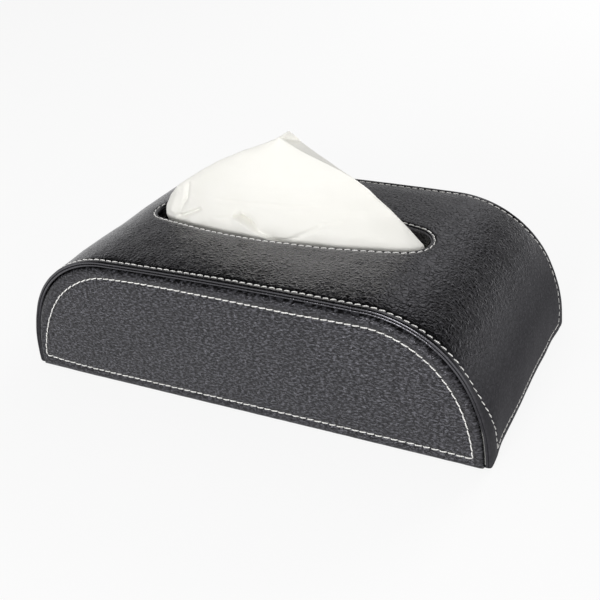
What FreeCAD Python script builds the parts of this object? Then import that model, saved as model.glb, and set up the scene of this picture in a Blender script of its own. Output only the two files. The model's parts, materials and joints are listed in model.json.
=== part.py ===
import FreeCAD, Part
import math
import os
import Sketcher

# Tissue box cover: a padded arch with a long oval opening, closed front and rear by padded panels,
# with a hinged loading flap in the base. X runs along the length, the front faces -Y, Z is up,
# and the origin is the middle of the base. All sizes are in millimetres.

SIZES = {
    # outside of the arch
    "cover_length": 250.0,
    "cover_depth": 126.6,
    "cover_height": 71.4,
    "side_centre": 11.2,
    "shoulder_level": 15.4,
    "crown_radius": 2180.0,
    # layers of the wrap
    "skin_thickness": 1.2,
    "wrap_foam": 1.5,
    "wrap_board": 1.5,
    "lining_thickness": 0.6,
    "glue_line": 0.1,
    "edge_roll": 1.8,
    # panels
    "panel_gap": 0.3,
    "panel_recess": 0.5,
    "panel_foam": 2.0,
    "panel_board": 2.5,
    "panel_edge_round": 1.8,
    # opening
    "slot_length": 151.0,
    "slot_width": 42.0,
    "slot_end_radius": 12.0,
    "facing_thickness": 1.0,
    # stitching
    "thread_width": 0.8,
    "thread_height": 0.4,
    "thread_lay": 0.05,
    "edge_stitch_inset": 3.0,
    "rim_stitch_inset": 2.0,
    "panel_stitch_inset": 7.0,
    "panel_stitch_base": 4.5,
    "hem_stitch_height": 2.6,
    # corner tapes inside
    "tape_width": 9.0,
    "tape_thickness": 0.6,
    "tape_base": 14.0,
    # loading flap
    "flap_recess": 1.5,
    "flap_board": 2.0,
    "flap_end_gap": 0.8,
    "flap_front_gap": 0.8,
    "flap_stitch_inset": 5.0,
    "hinge_tape": 0.5,
    "hinge_play": 0.15,
    "hinge_leaf": 14.0,
    "hinge_end_inset": 18.0,
    "tab_width": 18.0,
    "tab_length": 26.0,
    "tab_thickness": 0.7,
    # end ledges with their hook and loop pads
    "ledge_width": 15.0,
    "ledge_thickness": 2.0,
    "ledge_flange": 11.0,
    "ledge_end_gap": 3.0,
    "pad_thickness": 1.2,
    "pad_margin": 2.0,
    "pad_end_margin": 12.0,
    # tissues
    "pack_end_gap": 8.0,
    "pack_side_gap": 6.0,
    "pack_headroom": 21.0,
    "pack_rest_gap": 0.3,
    "pack_edge_round": 4.0,
    "tissue_rise": 49.0,
    "tissue_end_gap": 5.4,
    "tissue_rim_gap": 1.2,
    "tissue_depth": 20.0,
}

doc = FreeCAD.newDocument("tissue_box_cover")
dims = doc.addObject("Spreadsheet::Sheet", "dims")
for row, (alias, amount) in enumerate(SIZES.items(), start=1):
    dims.set(f"A{row}", alias)
    dims.set(f"B{row}", str(amount))
    dims.setAlias(f"B{row}", alias)
doc.recompute()

# Sizes worked out from the sheet, as expressions.
HALF_LENGTH = "dims.cover_length / 2"
HALF_DEPTH = "dims.cover_depth / 2"
SHOULDER_RADIUS = "(dims.cover_height - dims.shoulder_level)"
SKIN = "dims.skin_thickness"
FOAM_TOP = "(dims.skin_thickness + dims.glue_line)"
FOAM_UNDER = f"({FOAM_TOP} + dims.wrap_foam)"
BOARD_TOP = f"({FOAM_UNDER} + dims.glue_line)"
BOARD_UNDER = f"({BOARD_TOP} + dims.wrap_board)"
LINING_TOP = f"({BOARD_UNDER} + dims.glue_line)"
WALL = f"({LINING_TOP} + dims.lining_thickness)"

# Panel outline and stack, counted inward from the front of the cover.
PANEL_INSET = f"({FOAM_UNDER} + dims.panel_gap)"
CORE_INSET = f"({PANEL_INSET} + dims.skin_thickness + dims.glue_line)"
PANEL_FACE = f"({HALF_DEPTH} - dims.panel_recess)"
PANEL_FOAM_FACE = f"({PANEL_FACE} - {FOAM_TOP})"
PANEL_BOARD_FACE = f"({PANEL_FOAM_FACE} - dims.panel_foam - dims.glue_line)"
PANEL_BOARD_BACK = f"({PANEL_BOARD_FACE} - dims.panel_board)"
PANEL_LINING_FACE = f"({PANEL_BOARD_BACK} - dims.glue_line)"
INNER_FACE = f"({PANEL_LINING_FACE} - dims.lining_thickness)"
CORE_DEPTH = f"2 * ({INNER_FACE} - dims.glue_line)"

# Thread on the outside of the wrap, as insets, and a level over the crown and its thread.
THREAD_UNDER = "(-dims.thread_lay)"
THREAD_TOP = "(-dims.thread_lay - dims.thread_height)"
ABOVE_CROWN = f"(dims.cover_height - 2 * {THREAD_TOP})"

# Flap, hinge and closure heights.
FLAP_TRAY_TOP = "(dims.flap_recess + dims.skin_thickness + dims.glue_line + dims.flap_board)"
FLAP_TOP = f"({FLAP_TRAY_TOP} + dims.glue_line + dims.lining_thickness)"
SIDE_RADIUS = f"({HALF_LENGTH} - dims.side_centre)"
HOOK_BASE = f"({FLAP_TOP} + dims.glue_line)"
LOOP_BASE = f"({HOOK_BASE} + dims.pad_thickness + dims.glue_line)"
LEDGE_BASE = f"({LOOP_BASE} + dims.pad_thickness + dims.glue_line)"


def wall_reach(height):
    """Half length inside the lining at a height on the side arcs."""
    return f"(dims.side_centre + sqrt(({SIDE_RADIUS} - {WALL}) ^ 2 - ({height}) ^ 2))"


FLAP_HALF = f"({wall_reach(FLAP_TOP)} - dims.flap_end_gap)"
HINGE_RADIUS = "dims.hinge_tape"
HINGE_Y = f"({INNER_FACE} - dims.glue_line - {HINGE_RADIUS})"
HINGE_Z = "(dims.flap_recess - dims.thread_lay - dims.hinge_tape / 2)"
FLAP_REAR = f"({HINGE_Y} - {HINGE_RADIUS} - dims.hinge_play)"
FLAP_FRONT = f"(-{INNER_FACE} + dims.flap_front_gap)"
HINGE_HALF = f"({FLAP_HALF} - dims.hinge_end_inset)"
LEDGE_LENGTH = f"2 * ({INNER_FACE} - dims.tape_width - dims.ledge_end_gap)"
LEDGE_REACH = f"({wall_reach(LEDGE_BASE)} - dims.glue_line)"
LEDGE_INNER = f"({LEDGE_REACH} - dims.ledge_width)"


def size(expression):
    """Number that an expression on the sheet comes to."""
    return float(dims.evalExpression(expression))


def new_body(name):
    body = doc.addObject("PartDesign::Body", name)
    body.Label = name
    return body


def origin_plane(body, role):
    return next(item for item in body.Origin.OriginFeatures if item.Role == role)


def new_sketch(body, name, role, distance=None):
    """Sketch on one of the body's own planes, moved along the plane's normal."""
    sketch = body.newObject("Sketcher::SketchObject", name)
    sketch.AttachmentSupport = (origin_plane(body, role), [""])
    sketch.MapMode = "FlatFace"
    if distance is not None:
        sketch.setExpression("AttachmentOffset.Base.z", distance)
    return sketch


def bind(sketch, expression, *constraint):
    """Dimension that follows an expression."""
    index = sketch.addConstraint(Sketcher.Constraint(*constraint, size(expression)))
    sketch.setExpression(f"Constraints[{index}]", expression)


def fix(sketch, *constraint):
    sketch.addConstraint(Sketcher.Constraint(*constraint))


def arc(centre, radius, start, end):
    circle = Part.Circle(FreeCAD.Vector(*centre, 0), FreeCAD.Vector(0, 0, 1), radius)
    return Part.ArcOfCircle(circle, start, end)


def arch_centres():
    """Centre of the shoulder arc and the angles where it meets the side and the crown."""
    shoulder = size(SHOULDER_RADIUS)
    side_x = size("dims.side_centre")
    crown_z = size("dims.cover_height - dims.crown_radius")
    near = size(SIDE_RADIUS) - shoulder
    far = size("dims.crown_radius") - shoulder
    span = math.hypot(side_x, crown_z)
    along = (far ** 2 - near ** 2 + span ** 2) / (2 * span)
    across = math.sqrt(far ** 2 - along ** 2)
    unit = (side_x / span, -crown_z / span)
    centre = (along * unit[0] + across * unit[1], crown_z + along * unit[1] - across * unit[0])
    low = math.atan2(centre[1], centre[0] - side_x)
    high = math.atan2(centre[1] - crown_z, centre[0])
    return centre, low, high


def arch_curve(sketch, inset, base=None):
    """Right half of the arch at an inset from the outside, from a base height to the middle."""
    centre, low, high = arch_centres()
    depth = size(inset)
    side_radius = size(SIDE_RADIUS) - depth
    crown_radius = size("dims.crown_radius") - depth
    start = math.asin(size(base) / side_radius) if base else 0.0
    side, shoulder, crown = sketch.addGeometry([
        arc((size("dims.side_centre"), 0), side_radius, start, low),
        arc(centre, size(SHOULDER_RADIUS) - depth, low, high),
        arc((0, size("dims.cover_height - dims.crown_radius")), crown_radius, high, math.pi / 2),
    ])
    fix(sketch, "PointOnObject", side, 3, -1)
    bind(sketch, "dims.side_centre", "DistanceX", -1, 1, side, 3)
    bind(sketch, f"{SIDE_RADIUS} - {inset}", "Radius", side)
    if base:
        bind(sketch, base, "DistanceY", -1, 1, side, 1)
    else:
        fix(sketch, "PointOnObject", side, 1, -1)
    fix(sketch, "Tangent", side, 2, shoulder, 1)
    bind(sketch, f"{SHOULDER_RADIUS} - {inset}", "Radius", shoulder)
    fix(sketch, "Tangent", shoulder, 2, crown, 1)
    bind(sketch, f"dims.crown_radius - {inset}", "Radius", crown)
    fix(sketch, "PointOnObject", crown, 3, -2)
    fix(sketch, "PointOnObject", crown, 2, -2)
    bind(sketch, f"dims.cover_height - {inset}", "DistanceY", -1, 1, crown, 2)
    return (side, 1), (crown, 2)


def join(sketch, first, second):
    """Straight line between two points of the sketch."""
    line = sketch.addGeometry(Part.LineSegment(sketch.getPoint(*first), sketch.getPoint(*second)))
    fix(sketch, "Coincident", line, 1, *first)
    fix(sketch, "Coincident", line, 2, *second)
    return line


def step_line(sketch, first, end):
    """Line from a point of the sketch to a new free end."""
    line = sketch.addGeometry(Part.LineSegment(sketch.getPoint(*first), FreeCAD.Vector(*end, 0)))
    fix(sketch, "Coincident", line, 1, *first)
    return line


def draw_band(sketch, outer, inner, base=None):
    """Half of an arched band between two insets."""
    outer_foot, outer_top = arch_curve(sketch, outer, base)
    inner_foot, inner_top = arch_curve(sketch, inner, base)
    join(sketch, outer_top, inner_top)
    join(sketch, outer_foot, inner_foot)


def draw_plate(sketch, inset, base=None):
    """Half of the plate that fills the arch at an inset."""
    foot, top = arch_curve(sketch, inset, base)
    corner = (0, size(base) if base else 0.0)
    upright = step_line(sketch, top, corner)
    fix(sketch, "PointOnObject", upright, 2, -2)
    floor = join(sketch, (upright, 2), foot)
    fix(sketch, "Horizontal", floor)


def rectangle(sketch, left, right, low, high):
    """Four upright and level lines in a loop, lower side first."""
    corners = [(left, low), (right, low), (right, high), (left, high)]
    lines = [
        sketch.addGeometry(Part.LineSegment(FreeCAD.Vector(*start, 0), FreeCAD.Vector(*end, 0)))
        for start, end in zip(corners, corners[1:] + corners[:1])
    ]
    for this, following in zip(lines, lines[1:] + lines[:1]):
        fix(sketch, "Coincident", this, 2, following, 1)
    for line in lines[::2]:
        fix(sketch, "Horizontal", line)
    for line in lines[1::2]:
        fix(sketch, "Vertical", line)
    return lines


def draw_foot(sketch, near, far, height):
    """Block on the base line between two distances from the middle."""
    lines = rectangle(sketch, size(near), size(far), 0, size(height))
    fix(sketch, "PointOnObject", lines[0], 1, -1)
    bind(sketch, near, "DistanceX", -1, 1, lines[0], 1)
    bind(sketch, far, "DistanceX", -1, 1, lines[0], 2)
    bind(sketch, height, "DistanceY", -1, 1, lines[2], 1)


def oval_curve(sketch, grow):
    """Closed oval of four arcs round the opening, grown outward."""
    end = size(f"dims.slot_end_radius + {grow}")
    reach = "(dims.slot_length / 2 - dims.slot_end_radius)"
    half = "(dims.slot_width / 2)"
    spread = f"({reach} ^ 2 + {half} ^ 2 - dims.slot_end_radius ^ 2)"
    flank = f"({spread} / (2 * ({half} - dims.slot_end_radius)))"
    flank_radius = size(f"{flank} + {grow}")
    drop = size(f"{flank} - {half}")
    turn = math.atan2(drop, size(reach))
    right, back, left, front = sketch.addGeometry([
        arc((size(reach), 0), end, -turn, turn),
        arc((0, -drop), flank_radius, turn, math.pi - turn),
        arc((-size(reach), 0), end, math.pi - turn, math.pi + turn),
        arc((0, drop), flank_radius, math.pi + turn, 2 * math.pi - turn),
    ])
    ring = [right, back, left, front]
    for this, following in zip(ring, ring[1:] + ring[:1]):
        fix(sketch, "Tangent", this, 2, following, 1)
    for tip, points in ((right, (-1, 1, right, 3)), (left, (left, 3, -1, 1))):
        fix(sketch, "PointOnObject", tip, 3, -1)
        bind(sketch, reach, "DistanceX", *points)
        bind(sketch, f"dims.slot_end_radius + {grow}", "Radius", tip)
    for flank_arc in (back, front):
        bind(sketch, f"{flank} + {grow}", "Radius", flank_arc)


def pad(body, sketch, length, side="One side", back=False):
    feature = body.newObject("PartDesign::Pad", f"{sketch.Name}_pad")
    feature.Profile = sketch
    feature.SideType = side
    feature.Reversed = back
    feature.setExpression("Length", length)
    sketch.Visibility = False
    return feature


def pocket(body, sketch, length):
    feature = body.newObject("PartDesign::Pocket", f"{sketch.Name}_pocket")
    feature.Profile = sketch
    feature.setExpression("Length", length)
    sketch.Visibility = False
    return feature


def mirror_body(body, *halves):
    """Second half of a body, across the middle plane."""
    feature = body.newObject("PartDesign::Mirrored", f"{body.Name}_mirror")
    feature.Originals = list(halves)
    feature.MirrorPlane = (origin_plane(body, "YZ_Plane"), [""])
    body.Tip = feature
    return feature


def cut_slot(body, grow):
    """Oval opening through the crown."""
    sketch = new_sketch(body, f"{body.Name}_slot", "XY_Plane", ABOVE_CROWN)
    oval_curve(sketch, grow)
    body.Tip = pocket(body, sketch, "dims.cover_height / 2")


def round_edges(body, radius, chosen):
    """Fillet on the edges that a test picks."""
    doc.recompute()
    base = body.Tip
    names = [f"Edge{number}" for number, edge in enumerate(base.Shape.Edges, start=1) if chosen(edge)]
    feature = body.newObject("PartDesign::Fillet", f"{body.Name}_round")
    feature.Base = (base, names)
    feature.setExpression("Radius", radius)
    body.Tip = feature


def lies_at(edge, level, tolerance=1e-4):
    """True for an edge in the plane y = level."""
    return all(abs(point.y - level) < tolerance for point in edge.discretize(5))


def inset_of(point):
    """How far a point lies inside the outside of the arch."""
    centre, low, high = arch_centres()
    across = abs(point.x)
    for (x, z), radius, limit in (
        ((size("dims.side_centre"), 0.0), size(SIDE_RADIUS), low),
        (centre, size(SHOULDER_RADIUS), high),
    ):
        if math.atan2(point.z - z, across - x) <= limit + 1e-9:
            return radius - math.hypot(across - x, point.z - z)
    crown_z = size("dims.cover_height - dims.crown_radius")
    return size("dims.crown_radius") - math.hypot(across, point.z - crown_z)


def follows_arch(edge, inset):
    return all(abs(inset_of(point) - inset) < 1e-3 for point in edge.discretize(5))


def arch_layer(name, outer, inner, depth, base=None, slot=None):
    """Layer of the wrap, the full depth given, with or without the opening."""
    body = new_body(name)
    sketch = new_sketch(body, f"{name}_profile", "XZ_Plane")
    draw_band(sketch, outer, inner, base)
    mirror_body(body, pad(body, sketch, depth, "Symmetric"))
    if slot:
        cut_slot(body, slot)
    return body


def wrap_skin():
    """Outer skin of the arch: hems turned under at the ends, edges turned in front and rear."""
    body = new_body("wrap_skin")
    profile = new_sketch(body, "wrap_skin_profile", "XZ_Plane")
    outer_foot, outer_top = arch_curve(profile, "0")
    inner_foot, inner_top = arch_curve(profile, SKIN, SKIN)
    join(profile, outer_top, inner_top)
    hem_x = size(f"{HALF_LENGTH} - {FOAM_UNDER}")
    under = step_line(profile, outer_foot, (hem_x, 0))
    fix(profile, "PointOnObject", under, 2, -1)
    bind(profile, f"{HALF_LENGTH} - {FOAM_UNDER}", "DistanceX", -1, 1, under, 2)
    rise = step_line(profile, (under, 2), (hem_x, size(SKIN)))
    fix(profile, "Vertical", rise)
    hem = join(profile, (rise, 2), inner_foot)
    fix(profile, "Horizontal", hem)
    halves = [pad(body, profile, "dims.cover_depth", "Symmetric")]
    turned_under = new_sketch(body, "wrap_skin_hem", "XZ_Plane")
    draw_foot(turned_under, f"{HALF_LENGTH} - {WALL}", f"{HALF_LENGTH} - {FOAM_UNDER}", SKIN)
    halves.append(pad(body, turned_under, CORE_DEPTH, "Symmetric"))
    for place, distance, back in (("front", HALF_DEPTH, True), ("rear", f"-{HALF_DEPTH}", False)):
        turned = new_sketch(body, f"wrap_skin_{place}_turn", "XZ_Plane", distance)
        draw_band(turned, SKIN, FOAM_UNDER)
        halves.append(pad(body, turned, SKIN, back=back))
    mirror_body(body, *halves)
    cut_slot(body, "0")
    half = size(HALF_DEPTH)
    round_edges(
        body,
        "dims.edge_roll",
        lambda edge: (lies_at(edge, half) or lies_at(edge, -half)) and follows_arch(edge, 0.0),
    )
    return body


def rim_facing():
    """Strip that lines the cut edges of the opening, following the crown."""
    body = new_body("rim_facing")
    sketch = new_sketch(body, "rim_facing_profile", "XZ_Plane")
    draw_band(sketch, FOAM_TOP, WALL)
    mirror_body(body, pad(body, sketch, "dims.slot_width * 2", "Symmetric"))
    ring_cut(body, "dims.facing_thickness", "0")
    return body


def ring_cut(body, outer, inner):
    """Leave only the ring between two ovals."""
    around = new_sketch(body, f"{body.Name}_around", "XY_Plane", ABOVE_CROWN)
    half = (size("dims.cover_length"), size("dims.cover_depth"))
    lines = rectangle(around, -half[0], half[0], -half[1], half[1])
    bind(around, "dims.cover_length", "DistanceX", lines[0], 1, -1, 1)
    bind(around, "dims.cover_length", "DistanceX", -1, 1, lines[0], 2)
    bind(around, "dims.cover_depth", "DistanceY", lines[0], 1, -1, 1)
    bind(around, "dims.cover_depth", "DistanceY", -1, 1, lines[2], 1)
    oval_curve(around, outer)
    body.Tip = pocket(body, around, "dims.cover_height * 2")
    cut_slot(body, inner)


def front_plate(name, inset, face, thickness, base=None):
    """Plate of the front panel: outline, front face and thickness."""
    body = new_body(name)
    sketch = new_sketch(body, f"{name}_outline", "XZ_Plane", face)
    draw_plate(sketch, inset, base)
    mirror_body(body, pad(body, sketch, thickness, back=True))
    return body


def front_panel_skin():
    """Skin of the front panel, turned back round the edges of the core."""
    body = new_body("front_panel_skin")
    outline = new_sketch(body, "front_panel_skin_outline", "XZ_Plane", PANEL_FACE)
    draw_plate(outline, PANEL_INSET)
    block = pad(body, outline, f"{PANEL_FACE} - {PANEL_BOARD_BACK}", back=True)
    inside = new_sketch(body, "front_panel_skin_inside", "XZ_Plane", f"{PANEL_FACE} - {SKIN}")
    draw_plate(inside, f"({PANEL_INSET} + {SKIN})", SKIN)
    mirror_body(body, block, pocket(body, inside, "dims.cover_depth / 4"))
    face = -size(PANEL_FACE)
    edge_inset = size(PANEL_INSET)
    round_edges(
        body,
        "dims.panel_edge_round",
        lambda edge: lies_at(edge, face) and follows_arch(edge, edge_inset),
    )
    return body


def front_panel_thread():
    """Closed border stitch on the face of the front panel."""
    body = new_body("front_panel_thread")
    face = f"({PANEL_FACE} + dims.thread_lay)"
    sketch = new_sketch(body, "front_panel_thread_loop", "XZ_Plane", face)
    middle = f"({PANEL_INSET} + dims.panel_stitch_inset)"
    low = "(dims.panel_stitch_base - dims.thread_width / 2)"
    high = "(dims.panel_stitch_base + dims.thread_width / 2)"
    outer_foot, outer_top = arch_curve(sketch, f"({middle} - dims.thread_width / 2)", low)
    inner_foot, inner_top = arch_curve(sketch, f"({middle} + dims.thread_width / 2)", high)
    join(sketch, outer_top, inner_top)
    floor = step_line(sketch, inner_foot, (0, size(high)))
    fix(sketch, "Horizontal", floor)
    fix(sketch, "PointOnObject", floor, 2, -2)
    under = step_line(sketch, outer_foot, (0, size(low)))
    fix(sketch, "Horizontal", under)
    fix(sketch, "PointOnObject", under, 2, -2)
    join(sketch, (floor, 2), (under, 2))
    mirror_body(body, pad(body, sketch, "dims.thread_height"))
    return body


def front_edge_thread():
    """Stitch along the front edge of the wrap."""
    body = new_body("front_edge_thread")
    place = f"({HALF_DEPTH} - dims.edge_stitch_inset + dims.thread_width / 2)"
    sketch = new_sketch(body, "front_edge_thread_profile", "XZ_Plane", place)
    draw_band(sketch, THREAD_TOP, THREAD_UNDER, "dims.hem_stitch_height")
    mirror_body(body, pad(body, sketch, "dims.thread_width", back=True))
    return body


def rim_thread():
    """Stitch round the opening, following the crown."""
    body = new_body("rim_thread")
    sketch = new_sketch(body, "rim_thread_profile", "XZ_Plane")
    draw_band(sketch, THREAD_TOP, THREAD_UNDER)
    mirror_body(body, pad(body, sketch, "dims.slot_width * 2", "Symmetric"))
    middle = "dims.rim_stitch_inset"
    ring_cut(body, f"({middle} + dims.thread_width / 2)", f"({middle} - dims.thread_width / 2)")
    return body


def front_corner_tape():
    """Cloth tape in the inner corner between the wrap and the front panel."""
    body = new_body("front_corner_tape")
    face = f"({INNER_FACE} - dims.glue_line)"
    outer = f"({WALL} + dims.glue_line)"
    along = new_sketch(body, "front_corner_tape_along", "XZ_Plane", face)
    draw_band(along, outer, f"({outer} + dims.tape_thickness)", "dims.tape_base")
    leaf = pad(body, along, "dims.tape_width", back=True)
    flat = new_sketch(body, "front_corner_tape_flat", "XZ_Plane", face)
    draw_band(flat, outer, f"({outer} + dims.tape_width)", "dims.tape_base")
    mirror_body(body, leaf, pad(body, flat, "dims.tape_thickness", back=True))
    return body


def right_end_ledge():
    """Stop for the flap at the right end: a shelf with a flange that follows the end wall."""
    body = new_body("right_end_ledge")
    sketch = new_sketch(body, "right_end_ledge_profile", "XZ_Plane")
    base = size(LEDGE_BASE)
    top = size(f"{LEDGE_BASE} + dims.ledge_flange")
    shelf = size(f"{LEDGE_BASE} + dims.ledge_thickness")
    outer_radius = f"({SIDE_RADIUS} - {WALL} - dims.glue_line)"
    inner_radius = f"({outer_radius} - dims.ledge_thickness)"
    curves = []
    for radius, foot in ((outer_radius, base), (inner_radius, shelf)):
        reach = size(radius)
        angles = (math.asin(foot / reach), math.asin(top / reach))
        curves.append(sketch.addGeometry(arc((size("dims.side_centre"), 0), reach, *angles)))
    outer, inner = curves
    for curve, radius in ((outer, outer_radius), (inner, inner_radius)):
        fix(sketch, "PointOnObject", curve, 3, -1)
        bind(sketch, "dims.side_centre", "DistanceX", -1, 1, curve, 3)
        bind(sketch, radius, "Radius", curve)
        bind(sketch, f"{LEDGE_BASE} + dims.ledge_flange", "DistanceY", -1, 1, curve, 2)
    bind(sketch, LEDGE_BASE, "DistanceY", -1, 1, outer, 1)
    bind(sketch, f"{LEDGE_BASE} + dims.ledge_thickness", "DistanceY", -1, 1, inner, 1)
    join(sketch, (outer, 2), (inner, 2))
    inner_x = size(LEDGE_INNER)
    shelf_top = step_line(sketch, (inner, 1), (inner_x, shelf))
    fix(sketch, "Horizontal", shelf_top)
    bind(sketch, LEDGE_INNER, "DistanceX", -1, 1, shelf_top, 2)
    shelf_end = step_line(sketch, (shelf_top, 2), (inner_x, base))
    fix(sketch, "Vertical", shelf_end)
    shelf_under = join(sketch, (shelf_end, 2), (outer, 1))
    fix(sketch, "Horizontal", shelf_under)
    pad(body, sketch, LEDGE_LENGTH, "Symmetric")
    return body


def box(name, x, y, z):
    """Block between pairs of limits along the three axes."""
    block = doc.addObject("Part::Box", name)
    block.Label = name
    for side, axis, (low, high) in (("Length", "x", x), ("Width", "y", y), ("Height", "z", z)):
        block.setExpression(side, f"({high}) - ({low})")
        block.setExpression(f"Placement.Base.{axis}", low)
    return block


def cut(name, base, tool):
    result = doc.addObject("Part::Cut", name)
    result.Label = name
    result.Base = base
    result.Tool = tool
    return result


def mirrored(name, source, normal):
    """Opposite hand of a piece."""
    result = doc.addObject("Part::Mirroring", name)
    result.Label = name
    result.Source = source
    result.Base = FreeCAD.Vector(0, 0, 0)
    result.Normal = FreeCAD.Vector(*normal)
    return result


def loading_flap():
    """Base flap: skin turned up round a board, lined, with border stitch, hinge leaf and tab."""
    across = (f"-{FLAP_HALF}", FLAP_HALF)
    along = (FLAP_FRONT, FLAP_REAR)
    low = "dims.flap_recess"
    outside = box("flap_skin_outside", across, along, (low, FLAP_TRAY_TOP))
    inside = box(
        "flap_skin_inside",
        (f"-{FLAP_HALF} + {SKIN}", f"{FLAP_HALF} - {SKIN}"),
        (f"{FLAP_FRONT} + {SKIN}", f"{FLAP_REAR} - {SKIN}"),
        (f"{low} + {SKIN}", f"{FLAP_TRAY_TOP} + {SKIN}"),
    )
    skin = cut("flap_skin", outside, inside)
    board = box(
        "flap_board",
        (f"-{FLAP_HALF} + {FOAM_TOP}", f"{FLAP_HALF} - {FOAM_TOP}"),
        (f"{FLAP_FRONT} + {FOAM_TOP}", f"{FLAP_REAR} - {FOAM_TOP}"),
        (f"{low} + {FOAM_TOP}", FLAP_TRAY_TOP),
    )
    lining = box("flap_lining", across, along, (f"{FLAP_TOP} - dims.lining_thickness", FLAP_TOP))
    under = f"({low} - dims.thread_lay)"
    frames = []
    for name, shift, extra in (
        ("flap_thread_outside", "(dims.flap_stitch_inset - dims.thread_width / 2)", "0"),
        ("flap_thread_inside", "(dims.flap_stitch_inset + dims.thread_width / 2)", "dims.thread_lay"),
    ):
        frames.append(box(
            name,
            (f"-{FLAP_HALF} + {shift}", f"{FLAP_HALF} - {shift}"),
            (f"{FLAP_FRONT} + {shift}", f"{FLAP_REAR} - dims.hinge_leaf - {shift}"),
            (f"{under} - dims.thread_height - {extra}", f"{under} + {extra}"),
        ))
    thread = cut("flap_thread", *frames)
    leaf_rear = f"({HINGE_Y} - {HINGE_RADIUS} - dims.thread_lay)"
    leaf = box(
        "hinge_flap_leaf",
        (f"-{HINGE_HALF}", HINGE_HALF),
        (f"{leaf_rear} - dims.hinge_leaf", leaf_rear),
        (f"{under} - dims.hinge_tape", under),
    )
    tab_front = f"({FLAP_FRONT} + dims.flap_stitch_inset + dims.thread_width)"
    tab = box(
        "flap_pull_tab",
        ("-dims.tab_width / 2", "dims.tab_width / 2"),
        (tab_front, f"{tab_front} + dims.tab_length"),
        (f"{under} - dims.tab_thickness", under),
    )
    return [skin, board, lining, thread, leaf, tab]


def hinge_fixed_pieces():
    """Wall leaf and fold of the cloth hinge at the rear panel."""
    wall_face = f"({INNER_FACE} - dims.glue_line)"
    leaf_base = f"({HINGE_Z} + {HINGE_RADIUS} + dims.thread_lay)"
    leaf = box(
        "hinge_wall_leaf",
        (f"-{HINGE_HALF}", HINGE_HALF),
        (f"{wall_face} - dims.hinge_tape", wall_face),
        (leaf_base, f"{leaf_base} + dims.hinge_leaf"),
    )
    fold = doc.addObject("Part::Cylinder", "hinge_fold")
    fold.Label = "hinge_fold"
    fold.setExpression("Radius", HINGE_RADIUS)
    fold.setExpression("Height", f"2 * {HINGE_HALF}")
    fold.Placement = FreeCAD.Placement(
        FreeCAD.Vector(0, 0, 0), FreeCAD.Rotation(FreeCAD.Vector(0, 1, 0), 90)
    )
    fold.setExpression("Placement.Base.x", f"-{HINGE_HALF}")
    fold.setExpression("Placement.Base.y", HINGE_Y)
    fold.setExpression("Placement.Base.z", HINGE_Z)
    return [leaf, fold]


def right_pads():
    """Loop pad under the right ledge and the hook pad on the flap below it."""
    across = (f"{LEDGE_INNER} + dims.pad_margin", f"{FLAP_HALF} - dims.pad_margin")
    half = f"({LEDGE_LENGTH} / 2 - dims.pad_end_margin)"
    along = (f"-{half}", half)
    loop = box("right_loop_pad", across, along, (LOOP_BASE, f"{LOOP_BASE} + dims.pad_thickness"))
    hook = box("right_hook_pad", across, along, (HOOK_BASE, f"{HOOK_BASE} + dims.pad_thickness"))
    return [loop, hook]


PACK_BASE = f"({FLAP_TOP} + dims.pack_rest_gap)"
PACK_TOP = f"(dims.cover_height - {WALL} - dims.pack_headroom)"


def tissue_pack():
    """Folded pack that lies on the flap between the ledges, as long as the arch lets it be."""
    centre, _, _ = arch_centres()
    inner_shoulder = size(f"{SHOULDER_RADIUS} - {WALL}")
    top = size(PACK_TOP)
    shoulder_reach = centre[0] + math.sqrt(inner_shoulder ** 2 - max(top - centre[1], 0.0) ** 2)
    ledge_reach = size(f"{LEDGE_INNER} - dims.pack_rest_gap")
    half_length = min(shoulder_reach - size("dims.pack_end_gap"), ledge_reach)
    half_depth = size(f"{INNER_FACE} - dims.pack_side_gap")
    block = Part.makeBox(
        2 * half_length,
        2 * half_depth,
        top - size(PACK_BASE),
        FreeCAD.Vector(-half_length, -half_depth, size(PACK_BASE)),
    )
    long_edges = [edge for edge in block.Edges if abs(edge.tangentAt(0).x) > 0.99]
    feature = doc.addObject("Part::Feature", "tissue_pack")
    feature.Label = "tissue_pack"
    feature.Shape = block.makeFillet(size("dims.pack_edge_round"), long_edges)
    return feature


# Where the front crease and the rear fold of the sheet lie, as shares of its width.
CREASE_SHARE = 0.42
FOLD_SHARE = 0.62
# How far crease and fold are drawn in, as a share of the sheet's depth.
TUCK_SHARE = 0.1


def tissue_section(height, left, right, front, back):
    """Closed outline of the sheet at one height, with a crease in the front and a fold behind."""
    middle = (front + back) / 2
    width = right - left
    tuck = (back - front) * TUCK_SHARE

    def at(x, y):
        return FreeCAD.Vector(x, y, height)

    def bow(start, end):
        chord = end - start
        across = FreeCAD.Vector(chord.y, -chord.x, 0)
        across.normalize()
        return Part.Arc(start, (start + end) * 0.5 + across * tuck, end).toShape()

    corners = [
        at(left, middle),
        at(left + width * CREASE_SHARE, front + tuck),
        at(right, middle),
        at(left + width * FOLD_SHARE, back - tuck),
    ]
    return Part.Wire([bow(*pair) for pair in zip(corners, corners[1:] + corners[:1])])


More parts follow.
